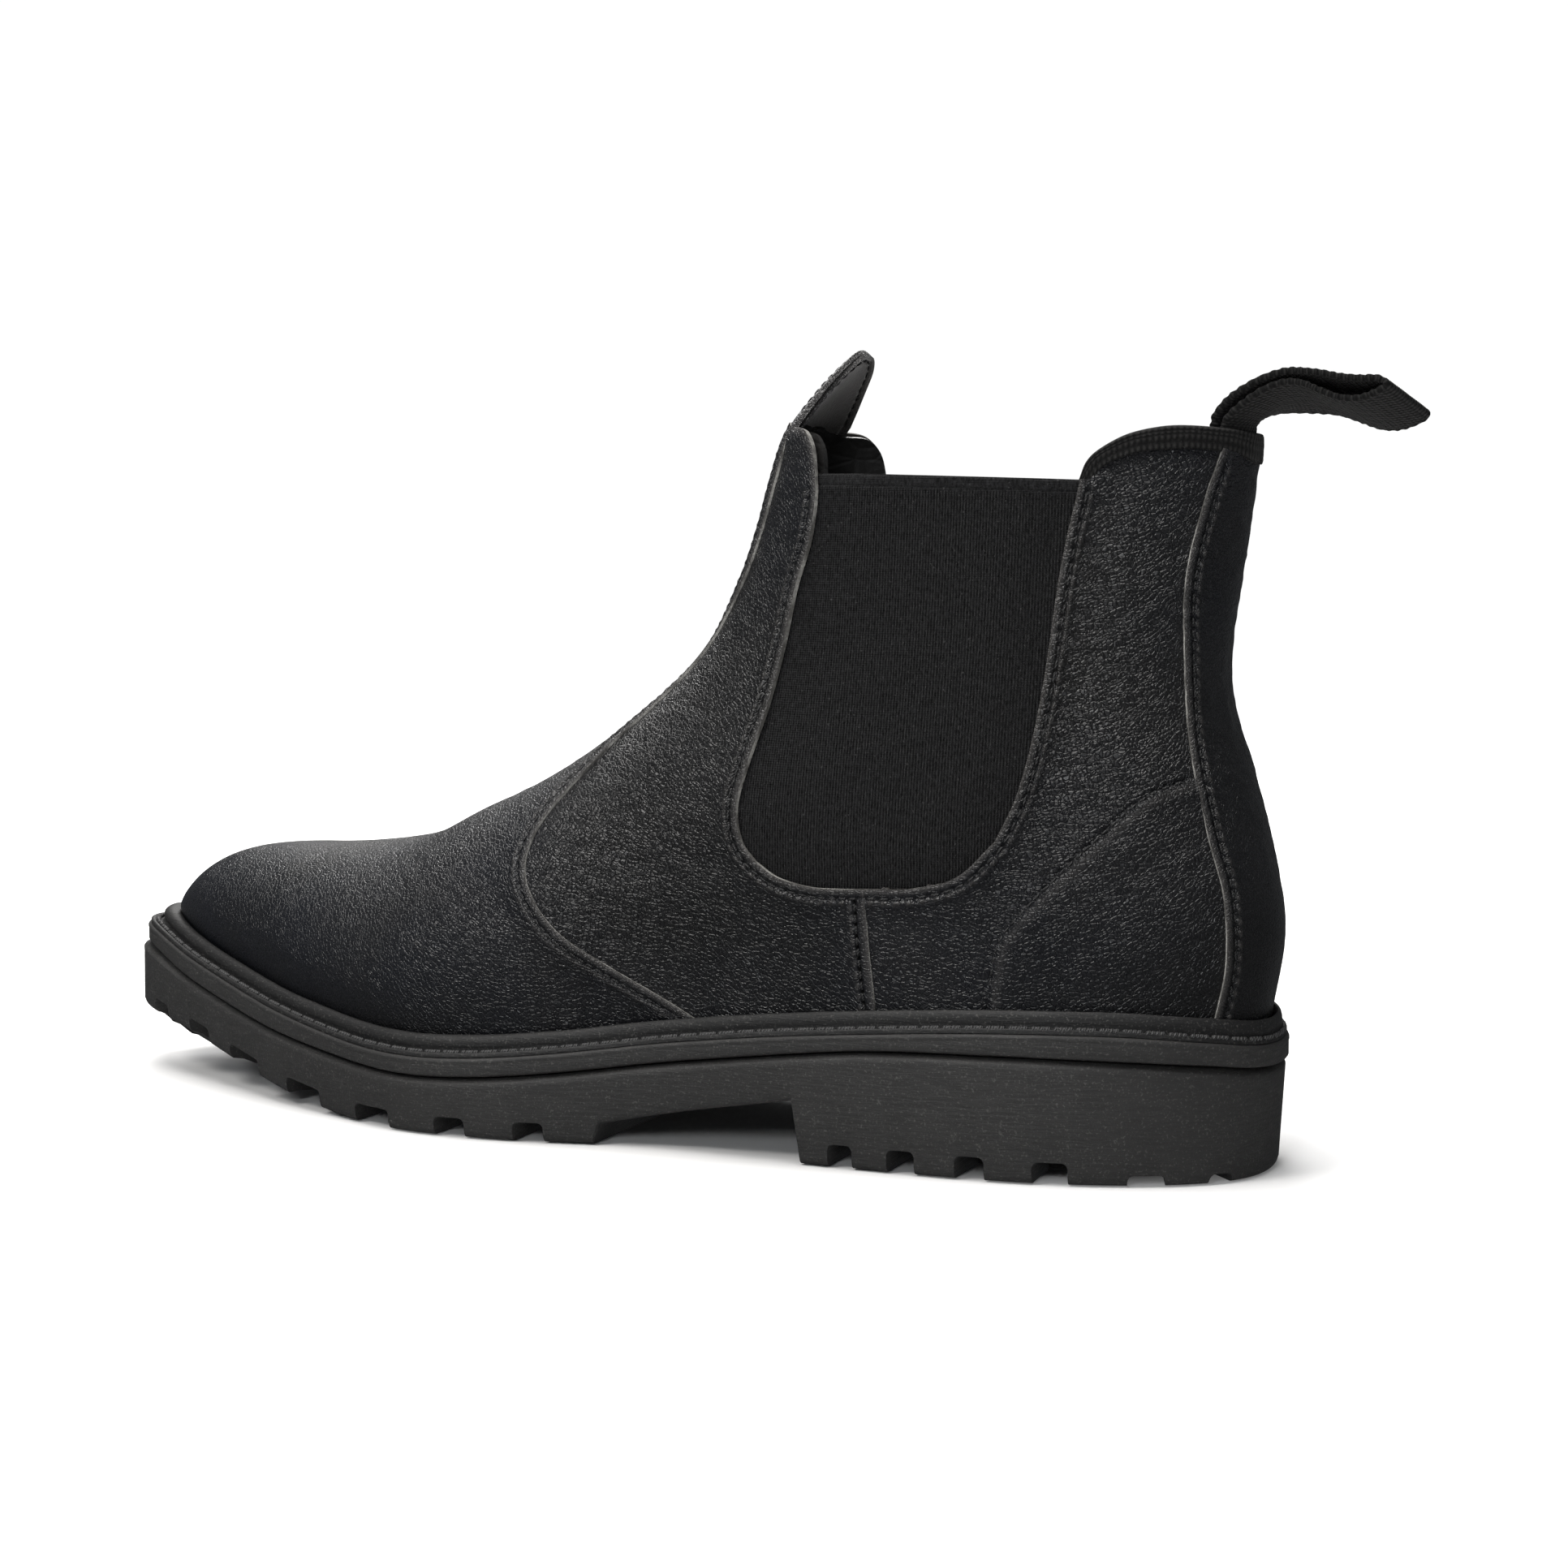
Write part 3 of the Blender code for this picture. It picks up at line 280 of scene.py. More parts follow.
def ease(rows, share, curve, count):
    """Bend the first row onto a curve, and the rows after it less and less."""
    fine = spaced(curve, 240)
    bulge = fine[np.round(240 * share).astype(int)] - rows[0]
    count = min(count, len(rows))
    for i in range(count):
        rows[i] += bulge * (1 - i / count) ** 2


def dense_ends(t):
    """Shares packed towards both ends."""
    return t - 0.78 * np.sin(2 * np.pi * t) / (2 * np.pi)


def dense_end(t):
    """Shares packed towards the far end."""
    return 1 - (1 - t) * (0.18 + 0.82 * (1 - t))


def side_rows(edge_a, edge_b, columns, spread=dense_ends, crowded=False, head=None,
              tail=None, fine=FINE):
    """A side-view grid between two edges, its first and last rows bent to a curve."""
    share = spread(np.arange(columns + 1) / columns)
    if crowded:
        share = 1 - np.cos(0.5 * np.pi * share)
    s = share[None, :, None]
    rows = edge_a[:, None] * (1 - s) + edge_b[:, None] * s
    if head is not None:
        ease(rows, share, head, HEAD_ROWS * fine)
    if tail is not None:
        ease(rows[::-1], share, tail, TAIL_ROWS * fine)
    return rows


def wrapped(rows, depth=0.0, folded=False):
    """Both sides of a piece that goes over the ridge or round the back, as one grid."""
    near, far = skin(rows, LATERAL, depth), skin(rows, MEDIAL, depth)
    near[:, 0, 1] = middle_y(near[:, 0, 0], near[:, 0, 2])
    if folded:
        near[0, :, 1] = middle_y(near[0, :, 0], near[0, :, 2])
        far[0] = near[0]
    guide = np.concatenate([outward(rows[..., 0], rows[..., 1], LATERAL)[:, ::-1],
                            outward(rows[:, 1:, 0], rows[:, 1:, 1], MEDIAL)], axis=1)
    return np.concatenate([near[:, ::-1], far[:, 1:]], axis=1), guide


def grid_normals(grid, guide):
    down, across = np.gradient(grid, axis=0), np.gradient(grid, axis=1)
    normal = np.cross(down, across)
    weak = np.linalg.norm(normal, axis=-1, keepdims=True) < 1e-7
    normal = unit(np.where(weak, guide, normal))
    flip = np.sign(np.sum(normal * guide, axis=-1, keepdims=True))
    return normal * np.where(flip == 0, 1, flip)


# --- relief ---
def near(points, line):
    """Distance from each point to a line, and how far along the line that is."""
    flat = points.reshape(-1, 3)
    run = runs(line)
    total = run[-1]
    samples = resampled(line, np.linspace(0, total, int(total / 0.3) + 2))
    low, high = samples.min(axis=0) - 16, samples.max(axis=0) + 16
    close = np.nonzero(np.all((flat > low) & (flat < high), axis=1))[0]
    distance, along = np.full(len(flat), FAR_OFF), np.zeros(len(flat))
    places = np.linspace(0, total, len(samples))
    for start in range(0, len(close), 3000):
        part = close[start:start + 3000]
        gap = ((flat[part, None, :] - samples[None]) ** 2).sum(axis=2)
        best = gap.argmin(axis=1)
        distance[part] = np.sqrt(gap[np.arange(len(part)), best])
        along[part] = places[best]
    return distance.reshape(points.shape[:-1]), along.reshape(points.shape[:-1])


def rough(points, scale, stretch=(1, 1, 1), seed=0.0):
    """Smooth noise between about -1 and 1 at points in mm; scale is a wavelength in mm."""
    flat = points.reshape(-1, 3) * (np.array(stretch) / scale) + seed
    return np.array([noise.noise(Vector(p)) for p in flat]).reshape(points.shape[:-1])


def beside(curve, offset):
    """A side-view curve moved across the surface, to the left of its run for offset > 0."""
    place = skin(curve, LATERAL)
    along = unit(np.gradient(place, axis=0))
    there = place + offset * np.cross(outward(curve[:, 0], curve[:, 1]), along)
    return there[:, (0, 2)]


def crease_map(points):
    """How strongly the leather is creased, from 0 to 1, by place."""
    x, z = points[..., 0], points[..., 2]
    toe = smooth(x, 165, 200)
    low = 1 - smooth(z - feather_z(x), 6, 26)
    shaft = 1 - smooth(x, 2, 14)
    instep = np.exp(-((x - 92) / 26) ** 2 - ((z - 78) / 26) ** 2)
    flex = np.exp(-((x - 150) / 26) ** 2 - ((z - 48) / 13) ** 2)
    amount = 0.3 + 0.55 * shaft * smooth(z, 55, 80) + 0.5 * instep + 0.45 * flex
    return np.clip(amount * (1 - 0.85 * toe) * (1 - 0.6 * low), 0.04, 1)


def relief(points, edges=(), rows=(), counter=False):
    """Lift of lapped edges, finer detail, and colour: lighter above 0 (edge wear, painted
    highlights), darker below (painted shade).
    """
    edge_gap = np.full(points.shape[:-1], FAR_OFF)
    for line in edges:
        edge_gap = np.minimum(edge_gap, near(points, line)[0])
    raised = LAP * (1 - smooth(edge_gap, 1.0, 9.0))
    # Lighter along the lapped raw edges, as wear.
    wear_and_painted_light = np.exp(-edge_gap / 0.7)
    detail = -0.2 * np.exp(-(edge_gap / 0.3) ** 2)
    for line, pitch, pucker in rows:
        gap, along = near(points, line)
        beat = 0.5 + 0.5 * np.cos(2 * np.pi * along / pitch)
        detail -= 0.6 * np.exp(-(gap / 0.5) ** 2) * (0.35 + 0.65 * beat)
        beyond = smooth(edge_gap, 2.2, 3.0) if edges else 1.0
        detail += pucker * (0.35 + 0.65 * (1 - beat)) * beyond * np.exp(
            -((gap - 1.0) / 0.75) ** 2)
        detail += 0.3 * pucker * np.cos(2 * np.pi * along / pitch) * beyond * np.exp(
            -(gap / 4.0) ** 2) * smooth(gap, 0.8, 2.0)
        # Painted highlight: the pucker lumps between the stitches are lightened.
        wear_and_painted_light = np.maximum(wear_and_painted_light, 0.7 * (1 - beat) * beyond * np.exp(-((gap - 0.9) / 0.5) ** 2))
        # Painted shade: the stitch holes and their furrow are darkened.
        wear_and_painted_light = wear_and_painted_light - 1.1 * np.exp(-(gap / 0.55) ** 2) * (0.35 + 0.65 * beat)
    if counter:
        x, z = points[..., 0], points[..., 2]
        line = spaced(COUNTER_LINE, 40)
        order = np.argsort(line[:, 0])
        height = np.interp(x, line[order, 0], line[order, 1])
        gap = np.where(x > COUNTER_FRONT_X, FAR_OFF, height - z)
        for side in (LATERAL, MEDIAL):
            distance, along = near(points, skin(line, side))
            beat = 0.5 + 0.5 * np.cos(2 * np.pi * along / COUNTER_PITCH)
            inside = smooth(gap, -0.1, 0.5) * (x <= COUNTER_FRONT_X)
            detail += 0.75 * inside * (1 - smooth(distance, 1.5, 14)) * (distance < 90)
            detail -= 0.4 * np.exp(-(distance / 0.6) ** 2) * (0.5 + 0.5 * beat)
            # Painted highlight: the leather bulging just below the counter line is lightened.
            wear_and_painted_light = np.maximum(wear_and_painted_light, 0.3 * inside * np.exp(-((distance - 1.4) / 1.1) ** 2))
            # Painted shade: the counter's stitch groove is darkened.
            wear_and_painted_light = wear_and_painted_light - 1.2 * np.exp(-(distance / 0.6) ** 2) * (0.55 + 0.45 * beat)
    return raised, detail, wear_and_painted_light


def wrinkles(points, crease, upright=False):
    """Soft unevenness of the leather and its creases, in mm."""
    stretch = (1.0, 0.6, 0.35) if upright else (0.35, 0.6, 1.0)
    soft = 0.16 * rough(points, 22.0) + 0.05 * rough(points, 7.0, seed=3.1)
    folds = -np.abs(rough(points, 4.6, stretch, seed=7.7)) * 0.5
    fine = rough(points, 2.1, stretch, seed=1.3) * 0.13
    return soft + crease * (folds + fine)


# --- meshes ---
def publish(name, verts, faces, looks, face_looks=None, floats=None, uv=None, body="boot",
            weld=0.004, sharp=45):
    """A mesh object out of points in mm, riding on a body of the frame."""
    mesh = bpy.data.meshes.new(name)
    mesh.from_pydata((np.asarray(verts) * MM).tolist(), [], faces)
    for look in looks:
        mesh.materials.append(look)
    if face_looks is not None:
        mesh.polygons.foreach_set("material_index", np.asarray(face_looks, np.int32))
    for key, values in (floats or {}).items():
        mesh.attributes.new(key, "FLOAT", "POINT").data.foreach_set(
            "value", np.asarray(values, np.float32).ravel())
    if uv is not None:
        layer = mesh.uv_layers.new(name="UVMap")
        loops = np.empty(len(mesh.loops), np.int32)
        mesh.loops.foreach_get("vertex_index", loops)
        layer.data.foreach_set("uv", np.asarray(uv, np.float32)[loops].ravel())
    maker = bmesh.new()
    maker.from_mesh(mesh)
    if weld:
        bmesh.ops.remove_doubles(maker, verts=maker.verts, dist=weld * MM)
    bmesh.ops.recalc_face_normals(maker, faces=maker.faces)
    maker.to_mesh(mesh)
    maker.free()
    mesh.shade_smooth()
    mesh.set_sharp_from_angle(angle=math.radians(sharp))
    made = bpy.data.objects.new(name, mesh)
    bpy.context.scene.collection.objects.link(made)
    if body:
        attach(made, body)
    return made


def shell(name, outer, inner, looks, floats=None, folded=False, **more):
    """A closed sheet between two grids; the looks are for outside, borders and inside."""
    rows, columns = outer.shape[:2]
    index = np.arange(rows * columns).reshape(rows, columns)
    back = index + rows * columns
    quads, kinds = [], []
    border_look, inner_look = min(1, len(looks) - 1), min(2, len(looks) - 1)

    def add(a, b, c, d, kind):
        block = np.stack([a.ravel(), b.ravel(), c.ravel(), d.ravel()], axis=1)
        quads.append(block)
        kinds.append(np.full(len(block), kind))
    for grid, kind in ((index, 0), (back, inner_look)):
        add(grid[:-1, :-1], grid[:-1, 1:], grid[1:, 1:], grid[1:, :-1], kind)
    for j in (0, -1):
        add(index[:-1, j], back[:-1, j], back[1:, j], index[1:, j], border_look)
    for i in (-1,) if folded else (0, -1):
        add(index[i, :-1], index[i, 1:], back[i, 1:], back[i, :-1], border_look)
    verts = np.vstack([outer.reshape(-1, 3), inner.reshape(-1, 3)])
    if floats:
        floats = {key: np.concatenate([value.ravel()] * 2) for key, value in floats.items()}
    if "uv" in more:
        more["uv"] = np.vstack([more["uv"].reshape(-1, 2)] * 2)
    return publish(name, verts, np.vstack(quads).tolist(), looks, np.concatenate(kinds),
                   floats, **more)


def dressed(name, node, grid, guide, edges=(), rows=(), counter=False, upright=False,
            folded=False, crease_gain=1.0):
    """A leather piece with laps, stitch furrows and creases, in place of its solid."""
    normal = grid_normals(grid, guide)
    crease = crease_map(grid) * crease_gain
    raised, detail, wear_and_painted_light = relief(grid, edges, rows, counter)
    detail = detail + wrinkles(grid, crease, upright)
    outer = grid + normal * (raised + detail)[..., None]
    inner = grid + normal * (raised - LEATHER)[..., None]
    if folded:
        half = grid.shape[1] // 2
        for layer in (outer, inner):
            mean = 0.5 * (layer[0, :half] + layer[0, ::-1][:half])
            mean[:, 1] = grid[0, :half, 1]
            layer[0, :half] = mean
            layer[0, half + 1:] = mean[::-1]
    made = shell(name, outer, inner, HIDE, {"crease": crease, "wear_and_painted_light": wear_and_painted_light}, folded)
    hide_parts(node)


def stitches(name, curve, side, pitch, length, radius=THREAD_RADIUS, lift=THREAD_LIFT,
             seed=0):
    """A row of sunken stitches along a side-view curve."""
    total = runs(skin(curve, side))[-1]
    goals = (np.arange(int(total / pitch)) + 0.5) * pitch
    at = resampled(curve, goals / total * runs(curve)[-1])
    centre = skin(at, side)
    along = unit(np.gradient(centre, axis=0))
    out = outward(at[:, 0], at[:, 1], side)
    across = unit(np.cross(out, along))
    normal = unit(np.cross(along, across))
    normal *= np.sign(np.sum(normal * out, axis=1))[:, None]
    made = thread(name, centre + normal * lift, along, across, normal, length, radius, THREAD,
                  seed)


def thread(name, centre, along, across, normal, length, radius, look, seed=0, body="boot"):
    """Short lengths of thread: bowed capsules, each turned a little at random."""
    rings, sides = 9, 8
    t = np.linspace(-1, 1, rings)
    size = np.sqrt(np.maximum(1 - np.abs(t) ** 4, 0.02))[:, None]
    angle = 2 * np.pi * np.arange(sides) / sides
    rng = np.random.default_rng(seed + 5)
    quads = [[i * sides + j, i * sides + n, (i + 1) * sides + n, (i + 1) * sides + j]
             for i in range(rings - 1) for j, n in zip(range(sides), [*range(1, sides), 0])]
    quads += [list(range(sides))[::-1], [(rings - 1) * sides + j for j in range(sides)]]
    verts, faces = [], []
    for c, a, b, n in zip(centre, along, across, normal):
        turned = a + rng.normal(0, 0.05) * b
        ring = (c + turned * (t * length / 2)[:, None, None]
                + b * (size * np.cos(angle) * radius)[..., None]
                + n * (size * np.sin(angle) * radius)[..., None]
                - n * (0.35 * radius * t ** 4)[:, None, None])
        faces += [[k + len(verts) * rings * sides for k in face] for face in quads]
        verts.append(ring.reshape(-1, 3))
    return publish(name, np.vstack(verts), faces, [look], weld=0, body=body, sharp=80)


# --- materials ---
class Paint:
    """A node material with short ways to add and join nodes."""

    def __init__(self, name, roughness=0.5, **sockets):
        self.made = bpy.data.materials.new(name)
        self.made.use_nodes = True
        self.tree = self.made.node_tree
        self.shader = self.tree.nodes["Principled BSDF"]
        self.shader.inputs["Roughness"].default_value = roughness
        for key, value in sockets.items():
            self.shader.inputs[key.replace("_", " ")].default_value = value
        self.coords = self.node("ShaderNodeTexCoord").outputs["Object"]

    def node(self, kind, inputs=None, **settings):
        made = self.tree.nodes.new(kind)
        for key, value in settings.items():
            setattr(made, key, value)
        for key, value in (inputs or {}).items():
            self.put(made.inputs[key], value)
        return made

    def put(self, socket, value):
        if isinstance(value, bpy.types.NodeSocket):
            self.tree.links.new(value, socket)
        else:
            socket.default_value = value

    def stretched(self, scale, coords=None):
        return self.node("ShaderNodeMapping", {"Vector": coords or self.coords,
                                               "Scale": scale}).outputs[0]

    def noise(self, scale, detail=2.0, coords=None, roughness=0.5):
        return self.node("ShaderNodeTexNoise", {
            "Vector": coords or self.coords, "Scale": scale, "Detail": detail,
            "Roughness": roughness}).outputs[0]

    def cells(self, scale, coords=None, feature="DISTANCE_TO_EDGE"):
        return self.node("ShaderNodeTexVoronoi", {
            "Vector": coords or self.coords, "Scale": scale}, feature=feature).outputs[0]

    def bands(self, scale, coords, direction="X"):
        return self.node("ShaderNodeTexWave", {"Vector": coords, "Scale": scale},
                         bands_direction=direction).outputs["Fac"]

    def math(self, kind, a, b=0.0, clamp=False):
        made = self.node("ShaderNodeMath", operation=kind, use_clamp=clamp)
        self.put(made.inputs[0], a)
        self.put(made.inputs[1], b)
        return made.outputs[0]

    def plus(self, a, b):
        return self.math("ADD", a, b)

    def times(self, a, b, clamp=False):
        return self.math("MULTIPLY", a, b, clamp)

    def ramp(self, value, *stops):
        made = self.node("ShaderNodeValToRGB", {"Fac": value})
        ramp = made.color_ramp
        while len(ramp.elements) < len(stops):
            ramp.elements.new(0.5)
        for element, (place, colour) in zip(ramp.elements, stops):
            element.position = place
            element.color = (*colour, 1) if isinstance(colour, tuple) else (colour,) * 3 + (1,)
        return made.outputs[0]

    def mix(self, share, a, b):
        made = self.node("ShaderNodeMix", data_type="RGBA")
        self.put(made.inputs[0], share)
        for socket, value in ((made.inputs[6], a), (made.inputs[7], b)):
            self.put(socket, (*value, 1.0) if isinstance(value, tuple) else value)
        return made.outputs[2]

    def attribute(self, name):
        return self.node("ShaderNodeAttribute", attribute_name=name).outputs["Fac"]

    def finish(self, colour, roughness=None, height=None, strength=0.5, distance=0.0003):
        self.put(self.shader.inputs["Base Color"],
                 (*colour, 1.0) if isinstance(colour, tuple) else colour)
        if roughness is not None:
            self.put(self.shader.inputs["Roughness"], roughness)
        if height is not None:
            bump = self.node("ShaderNodeBump", {"Height": height, "Strength": strength,
                                                "Distance": distance})
            self.put(self.shader.inputs["Normal"], bump.outputs[0])
        return self.made


def leather_look(name, dark=(0.0042, 0.0042, 0.0046)):
    p = Paint(name)
    crease, wear_and_painted_light = p.attribute("crease"), p.attribute("wear_and_painted_light")
    warp = p.node("ShaderNodeTexNoise", {"Vector": p.coords, "Scale": 240.0, "Detail": 2.0})
    bent = p.node("ShaderNodeVectorMath", operation="MULTIPLY_ADD")
    p.put(bent.inputs[0], warp.outputs[1])
    bent.inputs[1].default_value = (0.0022, 0.0022, 0.0022)
    p.put(bent.inputs[2], p.coords)
    pebbles = p.ramp(p.cells(1050.0, bent.outputs[0]), (0.0, 0.0), (0.16, 1.0))
    folds = p.ramp(p.cells(430.0, p.stretched((0.75, 0.75, 1.5), bent.outputs[0])),
                   (0.0, 0.0), (0.13, 1.0))
    grain = p.noise(4200.0, 3.0)
    patchy = p.noise(55.0, 2.0)
    amount = p.times(crease, p.plus(patchy, 0.45), True)
    height = p.plus(p.times(pebbles, p.plus(p.times(amount, 0.75), 0.72)),
                    p.times(grain, 0.22))
    height = p.plus(height, p.times(folds, p.times(amount, 1.1)))
    tone = p.mix(p.ramp(p.noise(14.0, 2.0), (0.35, 0.0), (0.65, 1.0)), dark,
                 (0.0046, 0.0054, 0.0085))
    tone = p.mix(p.times(p.ramp(p.noise(30.0, 3.0), (0.45, 0.0), (0.75, 1.0)), 0.5), tone,
                 (0.011, 0.010, 0.0095))
    # Painted highlight: the raised pebble tops are lighter where the leather is creased.
    tone = p.mix(p.times(p.times(pebbles, amount), 0.5), tone, (0.0125, 0.0125, 0.0135))
    # Lighter where the attribute is above 0: wear at raw edges, and painted highlights on
    # puckers and the counter's bulge.
    tone = p.mix(p.times(wear_and_painted_light, 0.75, True), tone, (0.06, 0.056, 0.053))
    # Below 0 it is painted shade: stitch holes and furrows turn near black and their specular is
    # dimmed.
    sunk = p.times(wear_and_painted_light, -1.0, True)
    tone = p.mix(sunk, tone, (0.0008, 0.0008, 0.0008))
    p.put(p.shader.inputs["Specular IOR Level"], p.math("SUBTRACT", 0.5, p.times(sunk, 0.45)))
    roughness = p.plus(p.times(p.noise(90.0, 2.0), 0.16), p.plus(p.times(wear_and_painted_light, 0.12, True), 0.29))
    return p.finish(tone, roughness, height, 0.6, 0.0003)


def raw_edge_look():
    p = Paint("raw_edge", 0.85)
    fibres = p.noise(1500.0, 3.0)
    patches = p.noise(160.0, 2.0)
    tone = p.mix(p.ramp(fibres, (0.3, 0.0), (0.7, 1.0)), (0.17, 0.166, 0.156),
                 (0.40, 0.393, 0.37))
    tone = p.mix(p.ramp(patches, (0.42, 0.0), (0.62, 0.8)), tone, (0.035, 0.033, 0.03))
    return p.finish(tone, None, fibres, 0.6, 0.0002)


def elastic_look():
    p = Paint("ribbed_elastic", 0.9, Sheen_Weight=0.05, Sheen_Roughness=0.5,
              Specular_IOR_Level=0.12)
    yarn = p.ramp(p.noise(2300.0, 2.0, p.stretched((1.0, 1.0, 0.4))),
                  (0.3, 0.0), (0.7, 1.0))
    knit = p.bands(620.0, p.coords, "Z")
    specks = p.ramp(p.noise(1350.0, 1.0), (0.70, 0.0), (0.78, 1.0))
    tone = p.mix(yarn, (0.0025, 0.0025, 0.0027), (0.018, 0.018, 0.019))
    tone = p.mix(p.times(specks, 0.45), tone, (0.085, 0.085, 0.085))
    height = p.plus(p.times(knit, 0.6), p.times(yarn, 0.6))
    return p.finish(tone, None, height, 0.8, 0.0003)


def tape_look():
    p = Paint("woven_tape", 0.85, Sheen_Weight=0.04, Specular_IOR_Level=0.2)
    uv = p.node("ShaderNodeTexCoord").outputs["UV"]
    diagonal = p.bands(0.30, p.node("ShaderNodeMapping", {
        "Vector": uv, "Rotation": (0, 0, math.radians(38))}).outputs[0], "X")
    across = p.bands(0.42, uv, "Y")
    fuzz = p.noise(2200.0, 3.0)
    height = p.plus(p.times(diagonal, 0.55), p.plus(p.times(across, 0.5), p.times(fuzz, 0.5)))
    tone = p.mix(p.times(diagonal, across), (0.003, 0.003, 0.003),
                 (0.018, 0.0175, 0.017))
    tone = p.mix(p.ramp(fuzz, (0.62, 0.0), (0.8, 0.6)), tone, (0.045, 0.044, 0.043))
    return p.finish(tone, None, height, 0.7, 0.00035)


def rubber_look(name, dark, light, bump=0.5):
    p = Paint(name, Specular_IOR_Level=0.4)
    fleck = p.ramp(p.noise(1900.0, 2.0), (0.58, 0.0), (0.72, 1.0))
    scratches = p.ramp(p.noise(420.0, 4.0, p.stretched((0.35, 0.35, 3.6)), 0.65),
                       (0.42, 0.0), (0.6, 1.0))
    grit = p.noise(2600.0, 2.0)
    dust = p.noise(26.0, 3.0)
    tone = p.mix(dust, dark, light)
    tone = p.mix(p.times(fleck, 0.45), tone, (0.115, 0.112, 0.105))
    tone = p.mix(p.times(p.math("SUBTRACT", 1.0, scratches), 0.3), tone,
                 (0.016, 0.016, 0.016))
    height = p.plus(p.times(scratches, 0.6), p.times(grit, 0.7))
    roughness = p.plus(p.times(p.noise(70.0, 2.0), 0.2), 0.5)
    return p.finish(tone, roughness, height, bump, 0.00025)


def lining_look():
    p = Paint("lining_leather", Coat_Weight=0.25, Coat_Roughness=0.4)
    folds = p.ramp(p.cells(190.0, p.stretched((1.0, 1.0, 1.7))), (0.0, 0.0), (0.2, 1.0))
    grain = p.noise(2600.0, 3.0)
    height = p.plus(p.times(folds, 0.6), p.times(grain, 0.25))
    tone = p.mix(p.noise(60.0, 2.0), (0.008, 0.008, 0.008), (0.02, 0.019, 0.018))
    return p.finish(tone, p.plus(p.times(grain, 0.2), 0.34), height, 0.5, 0.0004)


def nap_look(name, dark, light):
    p = Paint(name, 0.95, Sheen_Weight=0.4, Sheen_Roughness=0.5, Specular_IOR_Level=0.2)
    nap = p.noise(2400.0, 4.0)
    brushed = p.noise(70.0, 3.0, p.stretched((1.0, 2.5, 1.0)))
    tone = p.mix(brushed, dark, light)
    tone = p.mix(p.ramp(nap, (0.4, 0.0), (0.75, 0.5)), tone, tuple(2.2 * c for c in light))
    return p.finish(tone, None, nap, 0.6, 0.0003)


def thread_look(name, dark, light):
    p = Paint(name, 0.55)
    twist = p.bands(900.0, p.coords, "DIAGONAL")
    tone = p.mix(twist, dark, light)
    return p.finish(tone, None, twist, 0.6, 0.00015)


def fibre_look(name, dark, light, scale, metallic=0.0, roughness=0.85):
    p = Paint(name, roughness, Metallic=metallic)
    chips = p.cells(scale, feature="F1")
    fine = p.noise(scale * 3, 3.0)
    tone = p.mix(p.times(chips, 1.2, True), dark, light)
    return p.finish(tone, None, p.plus(chips, fine), 0.4, 0.0003)


LEATHER_LOOK = leather_look("black_leather")
# A lighter, browner copy of the black leather, used on the tab as a painted highlight.
TAB_LEATHER_PAINTED_LIGHT = leather_look("tab_leather", (0.015, 0.0138, 0.0128))
RAW = raw_edge_look()
ELASTIC = elastic_look()
TAPE = tape_look()
RUBBER = rubber_look("sole_rubber", (0.020, 0.0197, 0.0195), (0.030, 0.0295, 0.029))
WELT_RUBBER = rubber_look("welt_rubber", (0.007, 0.007, 0.0075), (0.013, 0.013, 0.013), 0.4)
LINING_LOOK = lining_look()
FLESH = nap_look("leather_flesh_side", (0.035, 0.032, 0.03), (0.06, 0.055, 0.05))
SUEDE = nap_look("dark_suede", (0.018, 0.017, 0.016), (0.034, 0.031, 0.029))
THREAD = thread_look("black_thread", (0.006, 0.006, 0.006), (0.03, 0.03, 0.031))
WELT_THREAD = thread_look("welt_thread", (0.012, 0.012, 0.012), (0.06, 0.06, 0.061))
BOARD = fibre_look("fibre_board", (0.30, 0.21, 0.13), (0.48, 0.36, 0.24), 700.0)
CORK = fibre_look("cork", (0.24, 0.13, 0.06), (0.52, 0.34, 0.19), 420.0)
STEEL = fibre_look("shank_steel", (0.38, 0.39, 0.41), (0.58, 0.59, 0.61), 1400.0, 1.0, 0.35)
HIDE = [LEATHER_LOOK, RAW, FLESH]

for node, look in (("shank", STEEL), ("bottom_filler", CORK), ("insole_board", BOARD),
                   ("toe_puff", BOARD), ("heel_counter", BOARD), ("heel_grip", SUEDE)):
    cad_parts[node].data.materials.clear()
    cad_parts[node].data.materials.append(look)


# --- the upper ---
def above_feather(xs):
    return [(x, float(feather_z(x)) + MARGIN) for x in xs]


def on_both(curve, offset=0.0):
    """A side-view curve, moved across the surface, on both sides of the boot."""
    moved = beside(curve, offset) if offset else curve
    return [skin(moved, side) for side, _ in SIDES]


VAMP_SEAM = joined(spaced(VAMP_SEAM_LOW, 110), spaced(VAMP_STRIP, 110))
FRONT_GORE_EDGE = joined(spaced(GORE_FRONT, 110), spaced(GORE_FLOOR_FRONT, 40))
REAR_GORE_EDGE = joined(spaced(GORE_FLOOR_REAR, 50), spaced(GORE_REAR, 100))
SEAM_SIDE = spaced(SIDE_SEAM, 40)
STAY_EDGE = spaced(BACKSTAY_EDGE, 130)
LOBE = spaced(FRONT_LOBE, 30)
TOE_ROW = spaced(RIDGE, 240, 1, 0, 3)[::-1]


